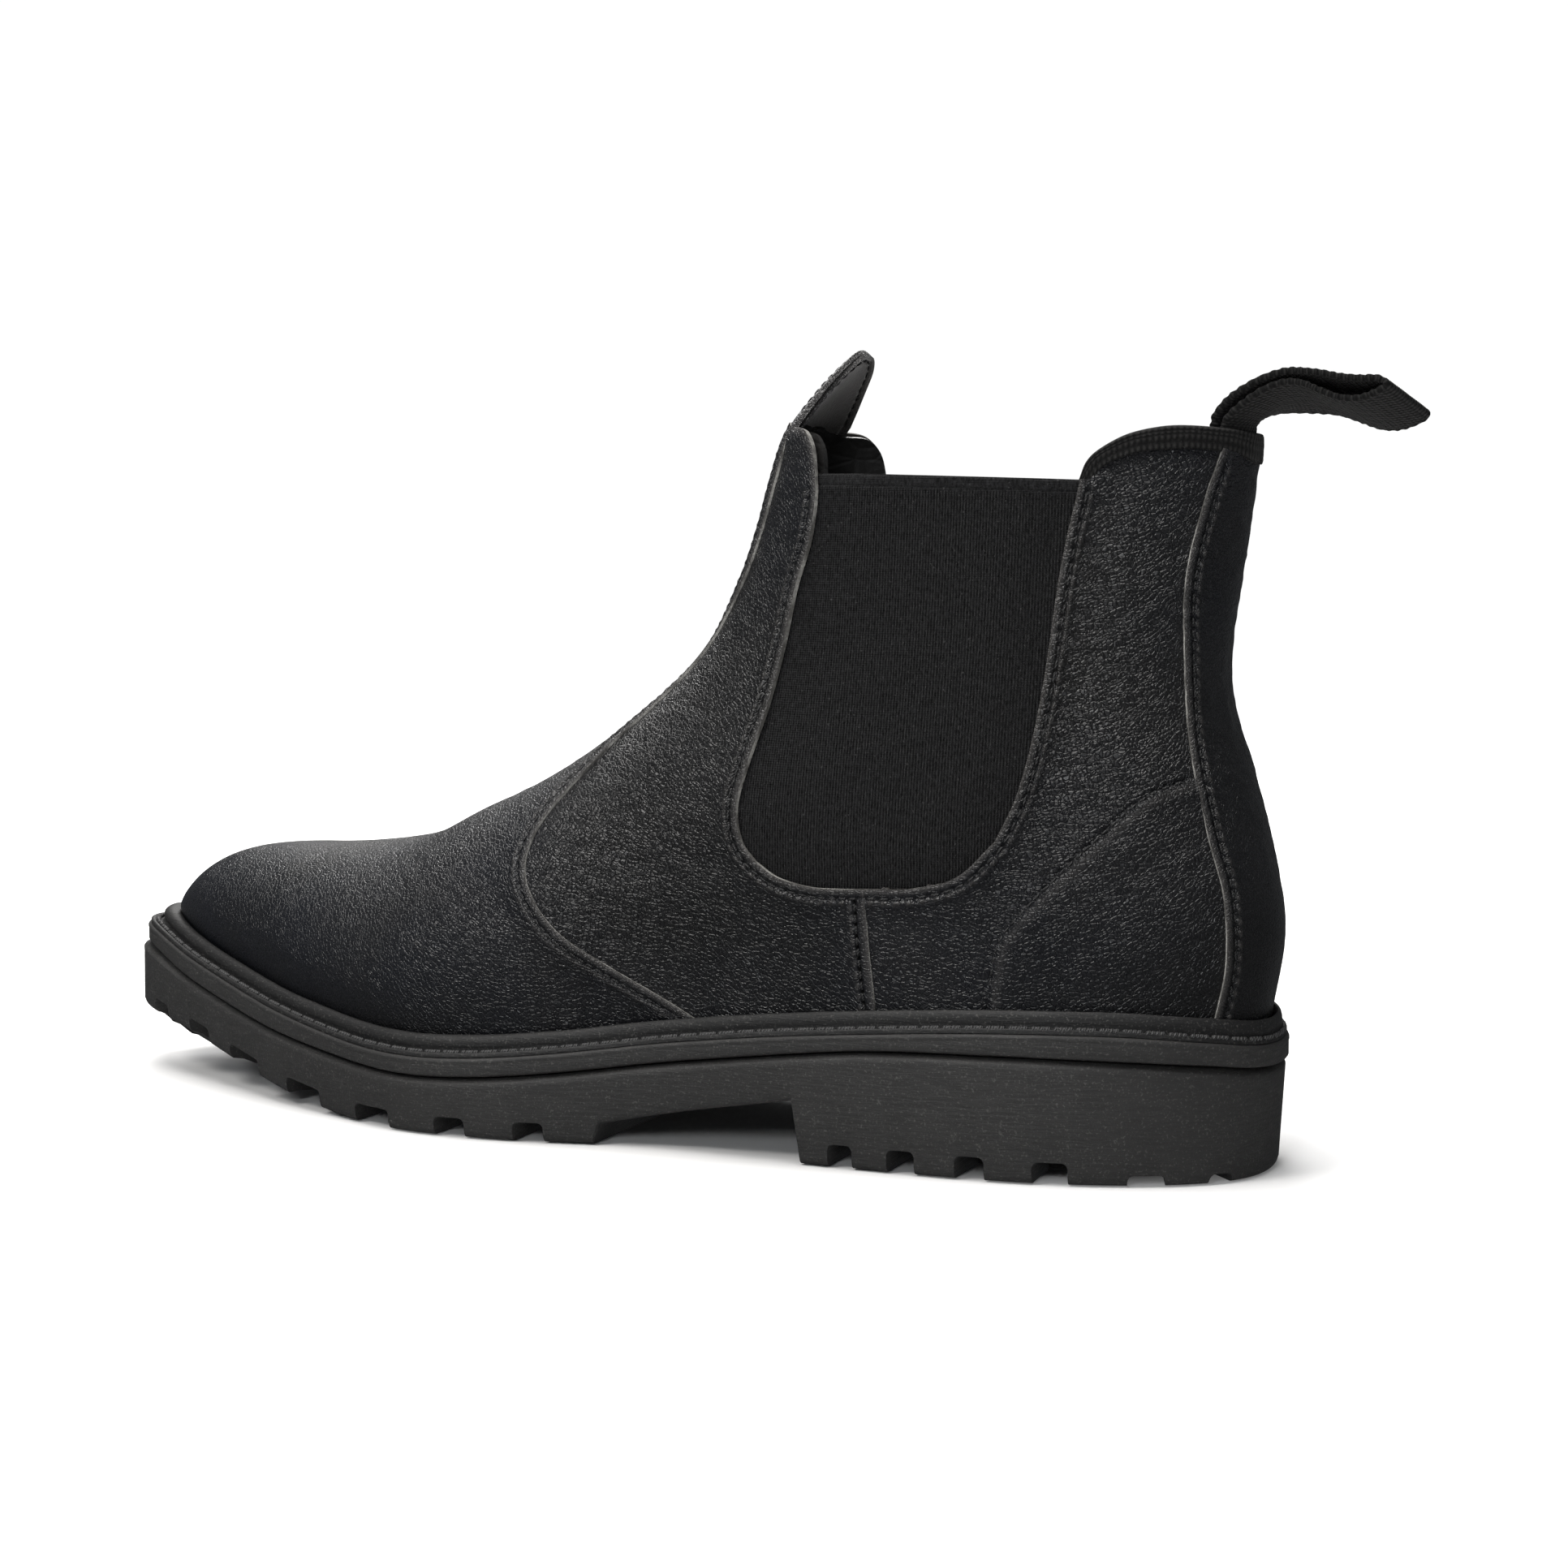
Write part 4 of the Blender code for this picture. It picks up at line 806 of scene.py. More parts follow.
def build_vamp():
    edge = joined(spaced(above_feather(FEATHER_STATIONS), 14 * FINE, 1.7),
                  spaced(VAMP_SEAM_LOW, 9 * FINE), spaced(VAMP_STRIP, 8 * FINE))
    ridge = joined(spaced(RIDGE, 14 * FINE, 1.3, 3, 6), spaced(RIDGE, 9 * FINE, 1, 6, 11),
                   spaced(RIDGE, 8 * FINE, 1, 11))
    rows = side_rows(ridge, edge, 46, dense_end, True, head=TOE_ROW)
    grid, guide = wrapped(rows, folded=True)
    furrows = [(line, VAMP_PITCH, 0.38) for line in on_both(VAMP_SEAM[6:], STITCH_IN)]
    dressed("vamp_leather", "vamp", grid, guide, on_both(VAMP_SEAM), furrows, upright=True,
            folded=True, crease_gain=0.8)
    for side, word in SIDES:
        stitches(f"vamp_stitches_{word}", beside(VAMP_SEAM[6:-4], STITCH_IN), side,
                 VAMP_PITCH, 1.75)


def build_front_quarters():
    seam = joined(spaced(VAMP_SEAM_LOW, 9 * FINE), spaced(VAMP_STRIP, 8 * FINE))
    rear = joined(spaced(GORE_FRONT, 9 * FINE), spaced(GORE_FLOOR_FRONT, 4 * FINE),
                  spaced(SIDE_SEAM, 4 * FINE))[::-1]
    rows = side_rows(seam, rear, 90, tail=FRONT_LOBE)
    border = joined(LOBE, FRONT_GORE_EDGE, SEAM_SIDE)
    gore_row = beside(FRONT_GORE_EDGE[4:], -STITCH_IN)
    side_row = beside(SEAM_SIDE[4:], -SIDE_STITCH_IN)
    for side, word in SIDES:
        dressed(f"front_quarter_leather_{word}", f"front_quarter_{word}", skin(rows, side),
                outward(rows[..., 0], rows[..., 1], side), [skin(border, side)],
                [(skin(gore_row, side), FRONT_PITCH, 0.45),
                 (skin(side_row, side), FRONT_PITCH, 0.22)])
        for label, curve in (("gore", gore_row), ("side", side_row)):
            stitches(f"{label}_front_stitches_{word}", curve, side, FRONT_PITCH, 1.8, seed=3)


def build_rear_quarters():
    edge = joined(spaced(GORE_REAR, 9 * FINE)[::-1], spaced(GORE_FLOOR_REAR, 4 * FINE)[::-1],
                  spaced(SIDE_SEAM, 4 * FINE))
    rows = side_rows(spaced(BACKSTAY_EDGE, 17 * FINE), edge, 130, head=REAR_TOP)
    gore_row = beside(REAR_GORE_EDGE[:-2], -STITCH_IN)
    for side, word in SIDES:
        dressed(f"rear_quarter_leather_{word}", f"rear_quarter_{word}", skin(rows, side),
                outward(rows[..., 0], rows[..., 1], side), [skin(REAR_GORE_EDGE, side)],
                [(skin(gore_row, side), REAR_PITCH, 0.7)], counter=True)
        stitches(f"gore_rear_stitches_{word}", gore_row, side, REAR_PITCH, 2.1, 0.28, seed=7)
        stitches(f"counter_stitches_{word}", spaced(COUNTER_LINE, 60)[2:-2], side,
                 COUNTER_PITCH, 1.8, 0.27, 0.12, seed=9)


def build_backstay():
    heights = np.linspace(STAY_TOP, STAY_FOOT, 17 * FINE + 1)
    middle = np.stack([back_x(heights), heights], axis=1)
    rows = side_rows(middle, spaced(BACKSTAY_EDGE, 17 * FINE), 34, dense_end, True)
    grid, guide = wrapped(rows)
    furrows = [(line, STAY_PITCH, 0.45) for line in on_both(STAY_EDGE[3:], STITCH_IN)]
    dressed("backstay_leather", "backstay", grid, guide, on_both(STAY_EDGE), furrows)
    for side, word in SIDES:
        stitches(f"backstay_stitches_{word}", beside(STAY_EDGE[5:-5], STITCH_IN), side,
                 STAY_PITCH, 1.9, seed=11)


def build_gores():
    heights = np.concatenate([np.linspace(60.6, 68, 14), np.linspace(69, 147.5, 66),
                              np.linspace(148, GORE_TOP, 26)])

    def reach(edge):
        curve = beside(edge, -1.6)
        order = np.argsort(curve[:, 1])
        return np.interp(heights, curve[order, 1], curve[order, 0])
    high, low = reach(FRONT_GORE_EDGE), reach(REAR_GORE_EDGE)
    steps = int(GORE_REACH / RIB * RIB_STEPS)
    lanes = -20 + np.arange(steps) * RIB / RIB_STEPS
    x = lanes[None] - GORE_LEAN * (heights[:, None] - 60) + 8
    x = np.clip(x, np.minimum(low, high - 1)[:, None], high[:, None])
    tilt = 0.0365 * smooth(heights, 100, 150)[:, None]
    z = heights[:, None] + (x - 21) * tilt
    rows = np.stack([x, z], axis=-1)
    phase = np.arange(steps) * 2 * np.pi / RIB_STEPS
    for side, word in SIDES:
        flat = skin(rows, side)
        rim = np.minimum(near(flat, skin(FRONT_GORE_EDGE, side))[0],
                         near(flat, skin(REAR_GORE_EDGE, side))[0])
        inside = (x < np.interp(z, FRONT_GORE_EDGE[::-1, 1], FRONT_GORE_EDGE[::-1, 0]))
        sunk = 1.0 - 0.95 * smooth(np.where(inside, rim, 0), 0.5, 11)
        top_gap = GORE_TOP - heights[:, None]
        ribbed = smooth(top_gap, 2.4, 3.4)
        lift = 0.17 * np.cos(phase)[None] * ribbed
        lift = lift - 0.3 * np.exp(-((top_gap - 2.5) / 0.3) ** 2)
        lift = lift - 0.12 * np.exp(-((top_gap - 4.9) / 0.3) ** 2)
        lift = lift + 0.1 * np.cos(top_gap * 2 * np.pi / 0.55) * (1 - ribbed) * 0.5
        lift = lift - 0.45 * np.exp(-(top_gap / 0.35) ** 2)
        lift = lift + 0.12 * rough(flat, 16.0)
        outer = skin(rows, side, sunk - lift)
        inner = skin(rows, side, sunk + 1.2 + 0.1 * np.cos(phase)[None] * ribbed)
        made = shell(f"elastic_gore_{word}", outer, inner, [ELASTIC], sharp=80)
        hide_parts(f"gore_{word}")


def build_linings():
    edge = joined(spaced(above_feather(LINING_STATIONS), 84, 1.6), spaced(SIDE_SEAM[::-1], 18),
                  spaced(GORE_FLOOR_FRONT, 18)[::-1], spaced(GORE_FRONT, 84)[::-1])
    ridge = joined(spaced(RIDGE, 84, 1.3, 3, 9), spaced(RIDGE, 18, 1, 9, 11),
                   spaced(RIDGE, 18, 1, 11, 13), spaced(RIDGE, 84, 1, 13))
    front = side_rows(ridge, edge, 36, dense_end, True, head=TOE_ROW,
                      tail=[RIDGE[-1]] + FRONT_LOBE, fine=COARSE)
    heights = np.linspace(STAY_TOP, STAY_FOOT + 1, 85)
    rear_edge = joined(spaced(GORE_REAR, 42)[::-1], spaced(GORE_FLOOR_REAR, 18)[::-1],
                       spaced(SIDE_SEAM, 24))
    rear = side_rows(np.stack([back_x(heights), heights], axis=1), rear_edge, 42, dense_end,
                     True, head=[(float(back_x(STAY_TOP)), STAY_TOP)] + REAR_TOP, fine=COARSE)
    for node, rows, folded in (("front_lining", front, True), ("rear_lining", rear, False)):
        depth = lining_depth(rows)
        outer, guide = wrapped(rows, depth, folded)
        inner, _ = wrapped(rows, depth + LINING, folded)
        high = smooth(inner[..., 2], 95, 150)
        waves = 0.95 * np.abs(rough(inner, 8.0, (1.0, 1.0, 0.5), seed=2.0)) * high
        waves += 0.25 * np.abs(rough(inner, 3.2, (1.0, 1.0, 0.7), seed=5.0)) * high
        waves[0] = 0
        inner = inner - grid_normals(inner, guide) * waves[..., None]
        made = shell(f"{node}_leather", outer, inner, [LINING_LOOK], folded=folded)
        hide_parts(node)


# --- collar, loop and tab ---
def build_binding():
    low = spaced([(float(back_x(156.8)), 156.8), (-40, 158.7), (-33.4, 159.7), (-27.3, 159.5),
                  (-21.7, 158.8), (-16.7, 156.9), (-14.1, 154.9), (-11.9, 152.0)], 90, 1.3)
    high = spaced([(float(back_x(161.3)), 161.3), (-40, 162), (-32, 162.6), (-26, 162.2),
                   (-19.7, 160.6), (-14.1, 157.5), (-11.6, 155.0), (-10.2, 151.4)], 90, 1.3)
    angle = np.linspace(0, 1, 15)
    share = np.minimum(angle / 0.62, 1.0)
    depth_out = -0.55 + 1.9 * smooth(angle, 0.55, 1.0)
    depth_in = 3.3 - 1.7 * smooth(angle, 0.55, 1.0)
    rise = 0.5 * np.sin(np.clip((angle - 0.55) / 0.45, 0, 1) * np.pi / 2)
    rows = np.stack([low * (1 - t) + high * t for t in share])
    rows[..., 1] += rise[:, None] - 1.7 * (1 - smooth(angle, 0.0, 0.3))[:, None]

    def both(depth):
        near_part, far = (skin(rows, side, depth[:, None]) for side, _ in SIDES)
        near_part[:, 0, 1] = middle_y(near_part[:, 0, 0], near_part[:, 0, 2])
        return np.concatenate([near_part[:, ::-1], far[:, 1:]], axis=1)
    outer, inner = both(depth_out), both(depth_in)
    fray = 0.22 * rough(outer, 1.6) + 0.15 * rough(outer, 4.0, seed=4.0)
    outer = outer + unit(outer - inner) * fray[..., None]
    run = runs(outer[5])
    uv = np.stack([np.broadcast_to(run, outer.shape[:2]),
                   np.broadcast_to(angle[:, None] * 4.5, outer.shape[:2])], axis=-1)
    made = shell("collar_tape", outer, inner, [TAPE], uv=uv, sharp=80)
    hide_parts("collar_binding")


def build_loop():
    middle = spaced(LOOP_PATH, 300)
    run = runs(middle)
    along = unit(np.gradient(middle, axis=0))
    normal = np.stack([-along[:, 1], along[:, 0]], axis=1)
    share = np.concatenate([[-1.0, -0.985], np.linspace(-0.955, 0.955, 41), [0.985, 1.0]])
    bow = LOOP_BOW * (1 - smooth(-middle[:, 0], 42, 56))
    skew = LOOP_SKEW * smooth(-middle[:, 0], 44, 62)
    roll = LOOP_ROLL * smooth(-middle[:, 0], 40, 54)
    weave = 2 * np.pi * run[:, None] / LOOP_WEAVE
    y = share[None] * (LOOP_HALF_WIDTH + 0.07 * np.cos(weave) * (np.abs(share[None]) > 0.9))
    thick = WEBBING / 2 * np.where(np.abs(share) > 0.99, 0.45, np.where(
        np.abs(share) > 0.97, 0.85, 1.0))
    ribs = 0.06 * np.cos(weave) + 0.05 * np.cos(2 * np.pi * (run[:, None] * 0.7 + y) / 1.1)
    hem = -0.14 * np.exp(-((np.abs(y) - 9.3) / 0.35) ** 2)
    layers = []
    for sign in (1, -1):
        shift = sign * (thick[None] + (ribs + hem) * (np.abs(share[None]) < 0.99))
        px = middle[:, 0, None] + normal[:, 0, None] * shift
        pz = middle[:, 1, None] + normal[:, 1, None] * shift
        layers.append(np.stack([px + bow[:, None] * y * y + skew[:, None] * y, y,
                                pz + roll[:, None] * y], axis=-1))
    uv = np.stack([y, np.broadcast_to(run[:, None], y.shape)], axis=-1)
    made = shell("loop_webbing", layers[0], layers[1], [TAPE], uv=uv, body=None, sharp=80)
    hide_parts("pull_loop")
    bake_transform(made)


def tab_place(x, y, z, depth):
    """Points of the curled tab at a depth behind its front face."""
    curl = TAB_CURL * y * y
    return np.stack([x - curl - depth * TAB_FACE[0], middle_y(60, 160) + y,
                     z - curl * 0.15 - depth * TAB_FACE[1]], axis=-1)


def tab_grid(depth, shrink):
    """The tab as a grid of points, and their distance from its rim."""
    spine = spaced([TAB_FOOT] + TAB_SPINE, TAB_ROWS)
    foot = math.dist(TAB_FOOT, TAB_SPINE[0])
    run = runs(spine)
    t = np.clip((run - foot) / (run[-1] - foot), 0, 1)
    half = (TAB_HALF_WIDTH - shrink) * np.sqrt(1 - t) + 0.6 * t
    share = np.sin(np.linspace(-1, 1, TAB_COLUMNS) * np.pi / 2)
    y = half[:, None] * share[None]
    grid = tab_place(spine[:, 0, None], y, spine[:, 1, None], depth)
    rim = np.minimum((1 - np.abs(share[None])) * half[:, None],
                     (1 - t)[:, None] * 21)
    return grid, rim


def build_tab():
    flat, rim = tab_grid(0.0, 0.0)
    swell = 0.12 * rough(flat, 9.0) - 0.2 * np.exp(-((rim - 2.0) / 0.4) ** 2) \
        - 0.25 * np.exp(-(rim / 0.3) ** 2)
    front, _ = tab_grid(-swell, 0.0)
    behind, _ = tab_grid(1.3, 0.0)
    made = shell("tab_leather_piece", front, behind, [TAB_LEATHER_PAINTED_LIGHT, TAB_LEATHER_PAINTED_LIGHT, FLESH],
                 {"crease": np.full(rim.shape, 0.35), "wear_and_painted_light": 0.5 * np.exp(-rim / 0.8)},
                 body=None)
    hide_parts("front_tab")
    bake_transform(made)

    flat, rim = tab_grid(1.5, 1.0)
    hollow = 0.15 * rough(flat, 7.0, seed=3.0) + 0.35 * np.exp(-((rim - 1.6) / 0.45) ** 2)
    face, _ = tab_grid(1.4, 1.0)
    back, _ = tab_grid(2.5 - hollow, 1.0)
    # The lining's rim is lightened as wear, and its stitch line is darkened as painted shade.
    made = shell("tab_lining_piece", face, back, [FLESH, TAB_LEATHER_PAINTED_LIGHT, SUEDE],
                 {"crease": np.full(rim.shape, 0.3),
                  "wear_and_painted_light": 0.5 * np.exp(-rim / 0.6) - 0.7 * np.exp(-((rim - 1.6) / 0.5) ** 2)},
                 body=None)
    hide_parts("tab_lining")
    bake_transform(made)

    spine = spaced(TAB_SPINE, 200)
    t = np.linspace(0, 1, 201)
    half = (TAB_HALF_WIDTH - 2.6) * np.sqrt(np.maximum(1 - t / 0.93, 0))
    keep = t <= 0.93
    side_a = np.stack([spine[keep, 0], half[keep], spine[keep, 1]], axis=1)
    x, y, z = np.vstack([side_a * [1, -1, 1], side_a[::-1]]).T
    for depth, label in ((-0.05, "front"), (2.5, "back")):
        line = tab_place(x, y, z, depth)
        count = int(runs(line)[-1] / TAB_PITCH)
        centre = resampled(line, (np.arange(count) + 0.5) * TAB_PITCH)
        along = unit(np.gradient(centre, axis=0))
        out = np.array([TAB_FACE[0], 0, TAB_FACE[1]]) * (1 if depth < 0 else -1)
        across = unit(np.cross(np.tile(out, (count, 1)), along))
        made = thread(f"tab_stitches_{label}", centre, along, across,
                      unit(np.cross(along, across)), 1.8, 0.22, THREAD, body="tab")


# --- the sole ---
def stations(low, high, count, extra=()):
    """Places along the sole, closer together at its ends, with some exact ones."""
    middle, reach = (low + high) / 2, (high - low) / 2
    spread = [middle - reach * math.cos(math.pi * k / count) for k in range(count + 1)]
    kept = [x for x in spread if all(abs(x - e) > 0.7 for e in extra)]
    return np.array(sorted(kept + list(extra)))


def outline(half, xs, inset=0.0):
    """Half a plan outline as (x, half width), moved inwards."""
    pairs = np.stack([xs, half(xs)], axis=1)
    along = np.empty_like(pairs)
    along[1:-1] = pairs[2:] - pairs[:-2]
    along[0], along[-1] = (0, 1), (0, -1)
    along = unit(along)
    inwards = np.stack([along[:, 1], -along[:, 0]], axis=1)
    amount = inset(xs) if callable(inset) else np.full(len(xs), inset)
    moved = pairs + inwards * amount[:, None]
    moved[:, 1] = np.maximum(moved[:, 1], 0)
    return moved


def plate(rings, shares=(-1.0, 1.0)):
    """Points and faces of a solid out of level rings."""
    verts, made = [], []
    shares = np.array(shares)
    for pairs, height in rings:
        x, h = pairs[:, 0][:, None], pairs[:, 1][:, None]
        y = middle_y(x, 30) + shares[None] * h
        z = height(x * np.ones_like(y), shares[None] * np.ones_like(y))
        grid = np.stack([x * np.ones_like(y), y, z], axis=-1)
        made.append(np.arange(y.size).reshape(y.shape) + sum(len(v) for v in verts))
        verts.append(grid.reshape(-1, 3))
    quads = []

    def add(a, b, c, d):
        quads.append(np.stack([a.ravel(), b.ravel(), c.ravel(), d.ravel()], axis=1))
    for grid in (made[0], made[-1]):
        add(grid[:-1, :-1], grid[:-1, 1:], grid[1:, 1:], grid[1:, :-1])
    for lower, upper in zip(made, made[1:]):
        for j in (0, -1):
            add(lower[:-1, j], lower[1:, j], upper[1:, j], upper[:-1, j])
        for k in (0, -1):
            add(lower[k, :-1], lower[k, 1:], upper[k, 1:], upper[k, :-1])
    return np.vstack(verts), np.vstack(quads).tolist()


def tread_z(x, share):
    """Height of the tread's face; share runs from -1 to 1 across the sole."""
    towards_edge = smooth(np.maximum(np.abs(share), smooth(x, 228, 256)), 0.5, 1.0)
    front = tread_middle(x) + (tread_edge(x) - tread_middle(x)) * towards_edge
    return np.where(x <= BREAST_X, 0.0, np.where(x < WAIST_X, arch_z(x), front))


def wall_inset(x):
    """How far the sole's wall stands in at the heel, or out at the toe."""
    return HEEL_SETBACK * (1 - smooth(x, -40, 5)) - TOE_BUMPER * smooth(x, 228, 252)


def ledge_z(x):
    return feather_z(x) - LEDGE_DROP


def gap_cells():
    """Corner quads and depths of the gaps between the lugs and of the middle bars."""
    cells = []
    for side, _ in SIDES:
        for x_from, x_to, depth in HEEL_GAPS + FOREFOOT_GAPS:
            middle = (x_from + x_to) / 2
            slope = float(sole_half(middle + 2) - sole_half(middle - 2)) / 4
            turn = math.atan(slope) * float(smooth(abs(middle - 90), 70, 140))
            inwards = np.array([math.sin(turn), -math.cos(turn)])
            reach = min(LUG_REACH, 0.8 * float(sole_half(middle)))
            corners = [np.array([x, float(sole_half(x))]) + inwards * r
                       for x in (x_from, x_to) for r in (-6.0, reach)]
            quad = [(p[0], float(middle_y(p[0], 30)) + side * p[1],
                     float(tread_z(np.array(p[0]), 0.9)))
                    for p in (corners[0], corners[1], corners[3], corners[2])]
            cells.append((quad, depth))
    for x, half, width, lean in [(x, 11.0, 5.0, 4.0) for x in (-20.0, 0.0, 20.0)] + \
            [(112.0 + 18.0 * k, 15.0, 6.0, 5.0) for k in range(6)]:
        low, high = x - width / 2, x + width / 2
        quad = [(low - lean, -half), (high - lean, -half), (high + lean, half),
                (low + lean, half)]
        cells.append(([(p, float(middle_y(p, 30)) + q, float(tread_z(np.array(p), 0.0)))
                       for p, q in quad], TREAD))
    return cells


def cutter_object(cells):
    """Prisms with rounded upper corners, one for each gap."""
    verts, faces = [], []
    for quad, depth in cells:
        quad = np.array(quad)
        width = np.linalg.norm(quad[0] - quad[3])
        round_off = min(1.4, 0.3 * width)
        base = len(verts)
        levels = [(-9.0, 0.0), (depth - round_off, 0.0)]
        levels += [(depth - round_off * (1 - math.sin(a)), round_off * (1 - math.cos(a)))
                   for a in (math.pi / 8, math.pi / 4, 3 * math.pi / 8, math.pi / 2)]
        for up, draw in levels:
            for k in range(4):
                mate = quad[3 - k]
                step = (mate - quad[k]) / max(np.linalg.norm(mate - quad[k]), 1e-6)
                place = quad[k] + step * draw
                verts.append((place[0], place[1], place[2] + up))
        count = len(levels)
        faces.append([base + k for k in range(4)])
        faces.append([base + (count - 1) * 4 + k for k in range(4)])
        for i in range(count - 1):
            for k in range(4):
                n = (k + 1) % 4
                faces.append([base + 4 * i + k, base + 4 * i + n, base + 4 * i + 4 + n,
                              base + 4 * i + 4 + k])
    return publish("tread_cutter", verts, faces, [], body=None, weld=0)


def build_outsole():
    xs = stations(SOLE_BACK_X, SOLE_TOE_X, 150, (BREAST_X, BREAST_TOP_X, WAIST_TOP_X, WAIST_X))
    ring = [(2.3, 0.0), (1.75, 0.08), (1.3, 0.35), (1.0, 0.85), (0.7, 1.8)]
    rings = [(outline(sole_half, xs, lambda x, i=inset: wall_inset(x) + i),
              lambda x, s, u=up: tread_z(x, s) + u) for inset, up in ring]
    for inset, drop in ((0.05, 2.4), (0.0, 1.5), (0.3, 1.05)):
        rings.append((outline(sole_half, xs, lambda x, i=inset: wall_inset(x) * 0.6 + i),
                      lambda x, s, d=drop: groove_height(x) - d))
    rings.append((outline(sole_half, xs, lambda x: np.maximum(wall_inset(x), 0) + GROOVE_DEEP),
                  lambda x, s: groove_height(x) - GROOVE_HALF))
    verts, faces = plate(rings, (-1.0, -0.9, -0.78, -0.5, 0.0, 0.5, 0.78, 0.9, 1.0))
    body = publish("outsole_rubber", verts, faces, [RUBBER], body=None)
    cutter = cutter_object(gap_cells())
    cut = body.modifiers.new("tread", "BOOLEAN")
    cut.operation, cut.solver, cut.object = "DIFFERENCE", "EXACT", cutter
    bevel = body.modifiers.new("rounding", "BEVEL")
    bevel.width, bevel.segments = 0.4 * MM, 2
    bevel.limit_method, bevel.angle_limit = "ANGLE", math.radians(50)
    bevel.use_clamp_overlap = True
    done = bpy.data.meshes.new_from_object(
        body.evaluated_get(bpy.context.evaluated_depsgraph_get()))
    body.modifiers.clear()
    body.data = done
    bpy.data.objects.remove(cutter)
    done.shade_smooth()
    done.set_sharp_from_angle(angle=math.radians(40))
    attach(body, "boot")
    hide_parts("outsole")


def build_midsole():
    xs = stations(SOLE_BACK_X, SOLE_TOE_X, 150)
    profile = [(0.42, -0.08), (0.16, -0.25), (0.0, -0.6), (0.0, -0.95), (0.12, -1.2),
               (0.1, -1.6)]
    rings = [(outline(sole_half, xs, GROOVE_DEEP), lambda x, s: groove_height(x) + GROOVE_HALF),
             (outline(sole_half, xs, 0.35), lambda x, s: groove_height(x) + 0.7),
             (outline(sole_half, xs, 0.08), lambda x, s: groove_height(x) + 1.1)]
    for inset, drop in reversed(profile):
        rings.append((outline(sole_half, xs, inset), lambda x, s, d=drop: ledge_z(x) + d))
    rings.append((outline(sole_half, xs, 0.9), lambda x, s: ledge_z(x)))
    verts, faces = plate(rings)
    made = publish("midsole_rubber", verts, faces, [RUBBER], sharp=60)
    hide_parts("midsole")


def welt_frame(count):
    """Outer and inner lines of the welt, station by station."""
    xs = stations(SOLE_BACK_X, SOLE_TOE_X, count)
    outer = outline(sole_half, xs, 0.75)
    scale = (TOE_TIP_X - HEEL_BACK_X) / (SOLE_TOE_X - SOLE_BACK_X)
    inner = outline(feather_half, HEEL_BACK_X + (xs - SOLE_BACK_X) * scale, -0.8)
    return xs, outer, inner


def build_welt():
    _, outer, inner = welt_frame(230)
    theta = np.radians(np.linspace(-28, 122, 13))
    profile = [(0.0, 0.1), (0.0, 0.9), (0.05, 1.15), (0.12, 1.2), (0.16, 0.75), (0.36, 0.7)]
    profile += [(0.78 - 0.36 * math.cos(a), 2.75 + 2.15 * math.sin(a)) for a in theta]
    profile += [(1.0, 0.1)]
    share, up = np.array(profile).T
    x = outer[:, None, 0] * (1 - share) + inner[:, None, 0] * share
    h = outer[:, None, 1] * (1 - share) + inner[:, None, 1] * share
    z = ledge_z(x) + up[None] + 0.03
    near_side = np.stack([x, middle_y(x, 30) + h, z], axis=-1)
    far_side = np.stack([x, middle_y(x, 30) - h, z], axis=-1)
    loop = np.concatenate([near_side, far_side[-2:0:-1]])
    uneven = 0.07 * rough(loop, 3.0) + 0.1 * rough(loop, 14.0, seed=2.0)
    loop[..., 2] += uneven * smooth(up, 1.3, 3.0)[None]
    count, wide = loop.shape[:2]
    index = np.arange(count * wide).reshape(count, wide)
    after = np.roll(index, -1, axis=0)
    right, after_right = np.roll(index, -1, axis=1), np.roll(after, -1, axis=1)
    faces = np.stack([index, right, after_right, after], axis=-1).reshape(-1, 4).tolist()
    made = publish("welt_strip", loop.reshape(-1, 3), faces, [WELT_RUBBER], sharp=60)
    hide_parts("storm_welt")

    share_at, lift_at = 0.24, 1.2
    mid = outer * (1 - share_at) + inner * share_at
    path = np.concatenate([np.stack([mid[:, 0], middle_y(mid[:, 0], 30) + s * mid[:, 1],
                                     ledge_z(mid[:, 0]) + lift_at], axis=1)[::s]
                           for s in (1, -1)])
    total = runs(path)[-1]
    count = int(total / WELT_PITCH)
    centre = resampled(path, (np.arange(count) + 0.5) * total / count)
    along = unit(np.roll(centre, -1, axis=0) - np.roll(centre, 1, axis=0))
    up_axis = np.tile([0.0, 0.0, 1.0], (count, 1))
    across = unit(np.cross(up_axis, along))
    up_axis = unit(np.cross(along, across))
    turns = 4
    places = np.concatenate([centre + along * (k - 1.5) * 0.98 for k in range(turns)])
    along, across, up_axis = (np.tile(v, (turns, 1)) for v in (along, across, up_axis))
    leaning = unit(along + 0.55 * across)
    made = thread("welt_stitches", places, leaning, unit(np.cross(up_axis, leaning)), up_axis,
                  1.5, 0.56, WELT_THREAD)


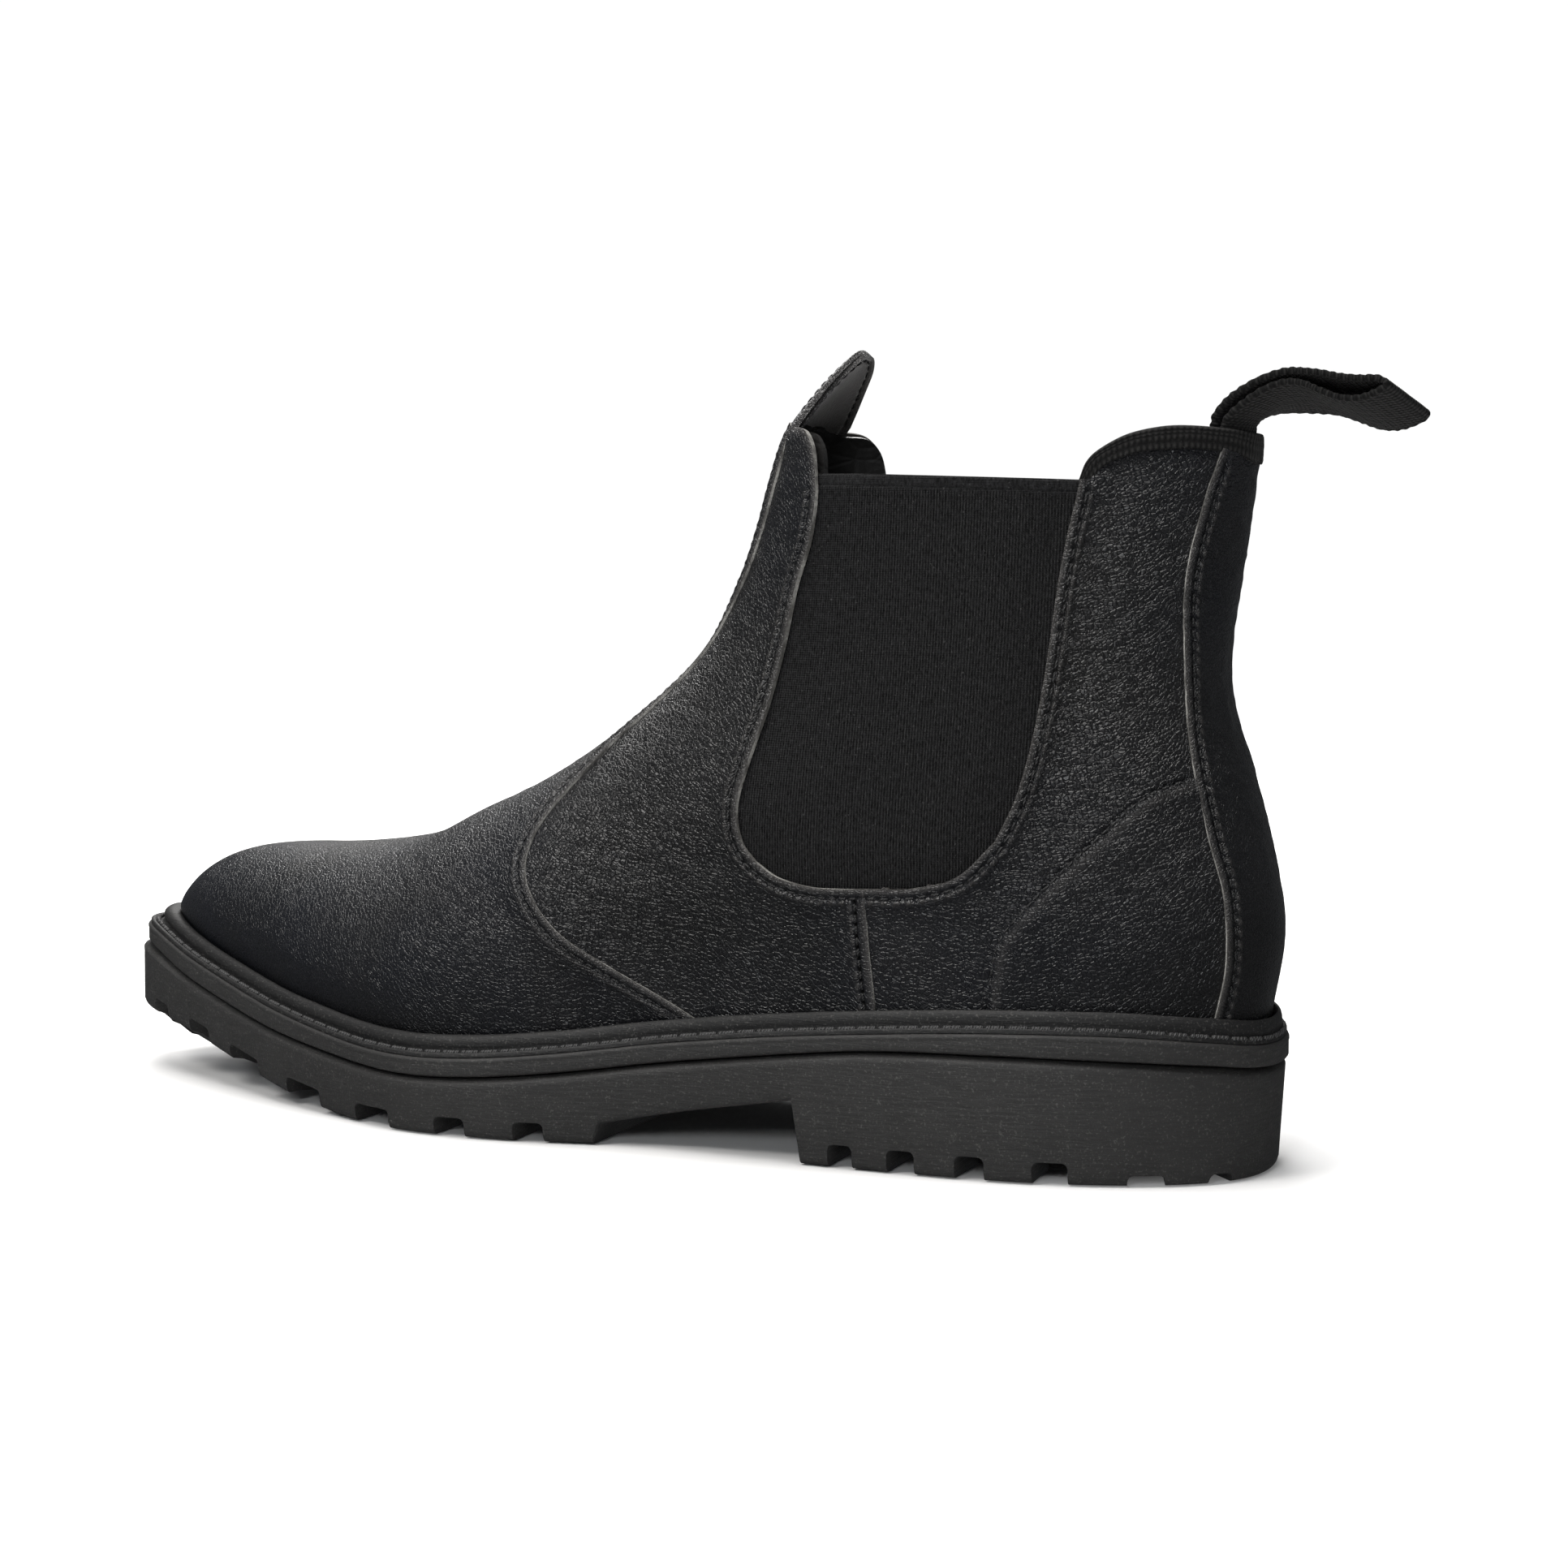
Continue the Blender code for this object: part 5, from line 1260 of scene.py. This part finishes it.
def build_footbed():
    def half(x, clear, start, end):
        scaled = HEEL_BACK_X + (x - start) * (TOE_TIP_X - HEEL_BACK_X) / (end - start)
        weight = smooth(scaled, HEEL_BACK_X, HEEL_BACK_X + 14) * (
            1 - smooth(scaled, TOE_TIP_X - 14, TOE_TIP_X))
        return np.maximum(feather_half(scaled) - clear * weight, 0.0)
    start, end = HEEL_BACK_X + 7.2, TOE_TIP_X - 10.2
    xs = stations(start, end, 90)
    rings = []
    for inset, up in ((0.0, 3.0), (0.0, 5.6), (0.25, 6.5), (0.9, 7.2)):
        pairs = np.stack([xs, np.maximum(half(xs, 7.1, start, end) - inset, 0.0)], axis=1)
        rings.append((pairs, lambda x, s, u=up: feather_z(x) + u
                      - (0.9 * (1 - np.abs(s) ** 2) if u > 7 else 0.0)))
    verts, faces = plate(rings, np.linspace(-1, 1, 25))
    made = publish("footbed_cover", verts, faces, [SUEDE], sharp=60)
    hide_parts("footbed")


# --- room, lights and camera ---
def lamp(name, place, target, size, power, colour=(1, 1, 1)):
    data = bpy.data.lights.new(name, "AREA")
    data.shape, data.size, data.energy, data.color = "DISK", size, power, colour
    made = bpy.data.objects.new(name, data)
    made.location = place
    made.rotation_euler = (Vector(target) - Vector(place)).to_track_quat("-Z", "Y").to_euler()
    bpy.context.scene.collection.objects.link(made)


def staged(name, maker, look):
    """An object of the studio, which isn't part of the boot."""
    mesh = bpy.data.meshes.new(name)
    maker.to_mesh(mesh)
    maker.free()
    mesh.materials.append(look)
    made = bpy.data.objects.new(name, mesh)
    bpy.context.scene.collection.objects.link(made)
    return made


def build_room():
    """A floor with painted light: no glow under the boot, which paints its shadow dark, and a
    glow rising farther out; and a white surround.
    """
    p = Paint("pale_floor", 0.9, Specular_IOR_Level=0.0)
    def distance(coords):
        made = p.node("ShaderNodeVectorMath", operation="LENGTH")
        p.put(made.inputs[0], coords)
        return p.times(made.outputs["Value"], 0.5)
    # Painted floor light: the glow is kept off over the boot's footprint (clear), painting its
    # shadow dark, and rises with distance from the boot (beyond).
    under = p.node("ShaderNodeMapping", {"Vector": p.coords, "Location": (-0.68, 0.08, 0.0),
                                         "Scale": (6.6, 19.0, 1.0)}).outputs[0]
    beyond = p.ramp(distance(p.coords), (0.15, 0.42), (0.9, 0.96))
    clear = p.ramp(distance(under), (0.45, 0.0), (0.62, 1.0))
    p.put(p.shader.inputs["Emission Color"], (1.0, 1.0, 1.0, 1.0))
    p.put(p.shader.inputs["Emission Strength"], p.times(clear, beyond))
    p.finish(p.mix(p.noise(3.0), (0.80, 0.80, 0.80), (0.83, 0.83, 0.83)))
    maker = bmesh.new()
    bmesh.ops.create_circle(maker, cap_ends=True, segments=96, radius=2.0)
    floor = staged("studio_floor", maker, p.made)
    floor.location.z = -0.0003
    floor.visible_glossy = False

    world = bpy.data.worlds.new("studio")
    world.use_nodes = True
    world.node_tree.nodes["Background"].inputs["Color"].default_value = (0.94, 0.97, 1.0, 1)
    world.node_tree.nodes["Background"].inputs["Strength"].default_value = 0.10
    bpy.context.scene.world = world

    p = Paint("backdrop_white", Specular_IOR_Level=0.0, Emission_Strength=1.02)
    p.put(p.shader.inputs["Emission Color"], (1.0, 1.0, 1.0, 1.0))
    p.finish((0.0, 0.0, 0.0))
    maker = bmesh.new()
    bmesh.ops.create_uvsphere(maker, u_segments=48, v_segments=24, radius=7.9)
    backdrop = staged("studio_backdrop", maker, p.made)
    backdrop.visible_diffuse = backdrop.visible_glossy = False
    backdrop.visible_shadow = backdrop.visible_transmission = False

    lamp("overhead", (0.15, 0.10, 1.25), (0.10, 0.0, 0.05), 0.9, 15.0, (1.0, 0.98, 0.96))
    lamp("front_left", (0.60, 0.80, 1.15), (0.10, 0.0, 0.07), 0.45, 8.0, (1.0, 0.98, 0.95))
    lamp("far_side", (0.55, -0.80, 0.85), (0.10, 0.0, 0.07), 0.8, 9.0, (1.0, 0.985, 0.97))
    lamp("camera_side", (-0.05, 1.25, 0.62), (0.0, 0.0, 0.09), 0.35, 4.4, (0.96, 0.98, 1.0))


def build_camera():
    data = bpy.data.cameras.new("camera")
    data.lens, data.sensor_width = 59.63, 36.0
    made = bpy.data.objects.new("camera", data)
    made.location = (-0.17978, 0.56101, 0.13617)
    made.rotation_euler = (math.radians(84.893), 0, math.radians(204))
    bpy.context.scene.collection.objects.link(made)
    bpy.context.scene.camera = made
    bpy.context.scene.view_settings.view_transform = "Standard"


build_camera()
build_room()
build_vamp()
build_front_quarters()
build_rear_quarters()
build_backstay()
build_gores()
build_linings()
build_binding()
build_loop()
build_tab()
build_outsole()
build_midsole()
build_welt()
build_footbed()
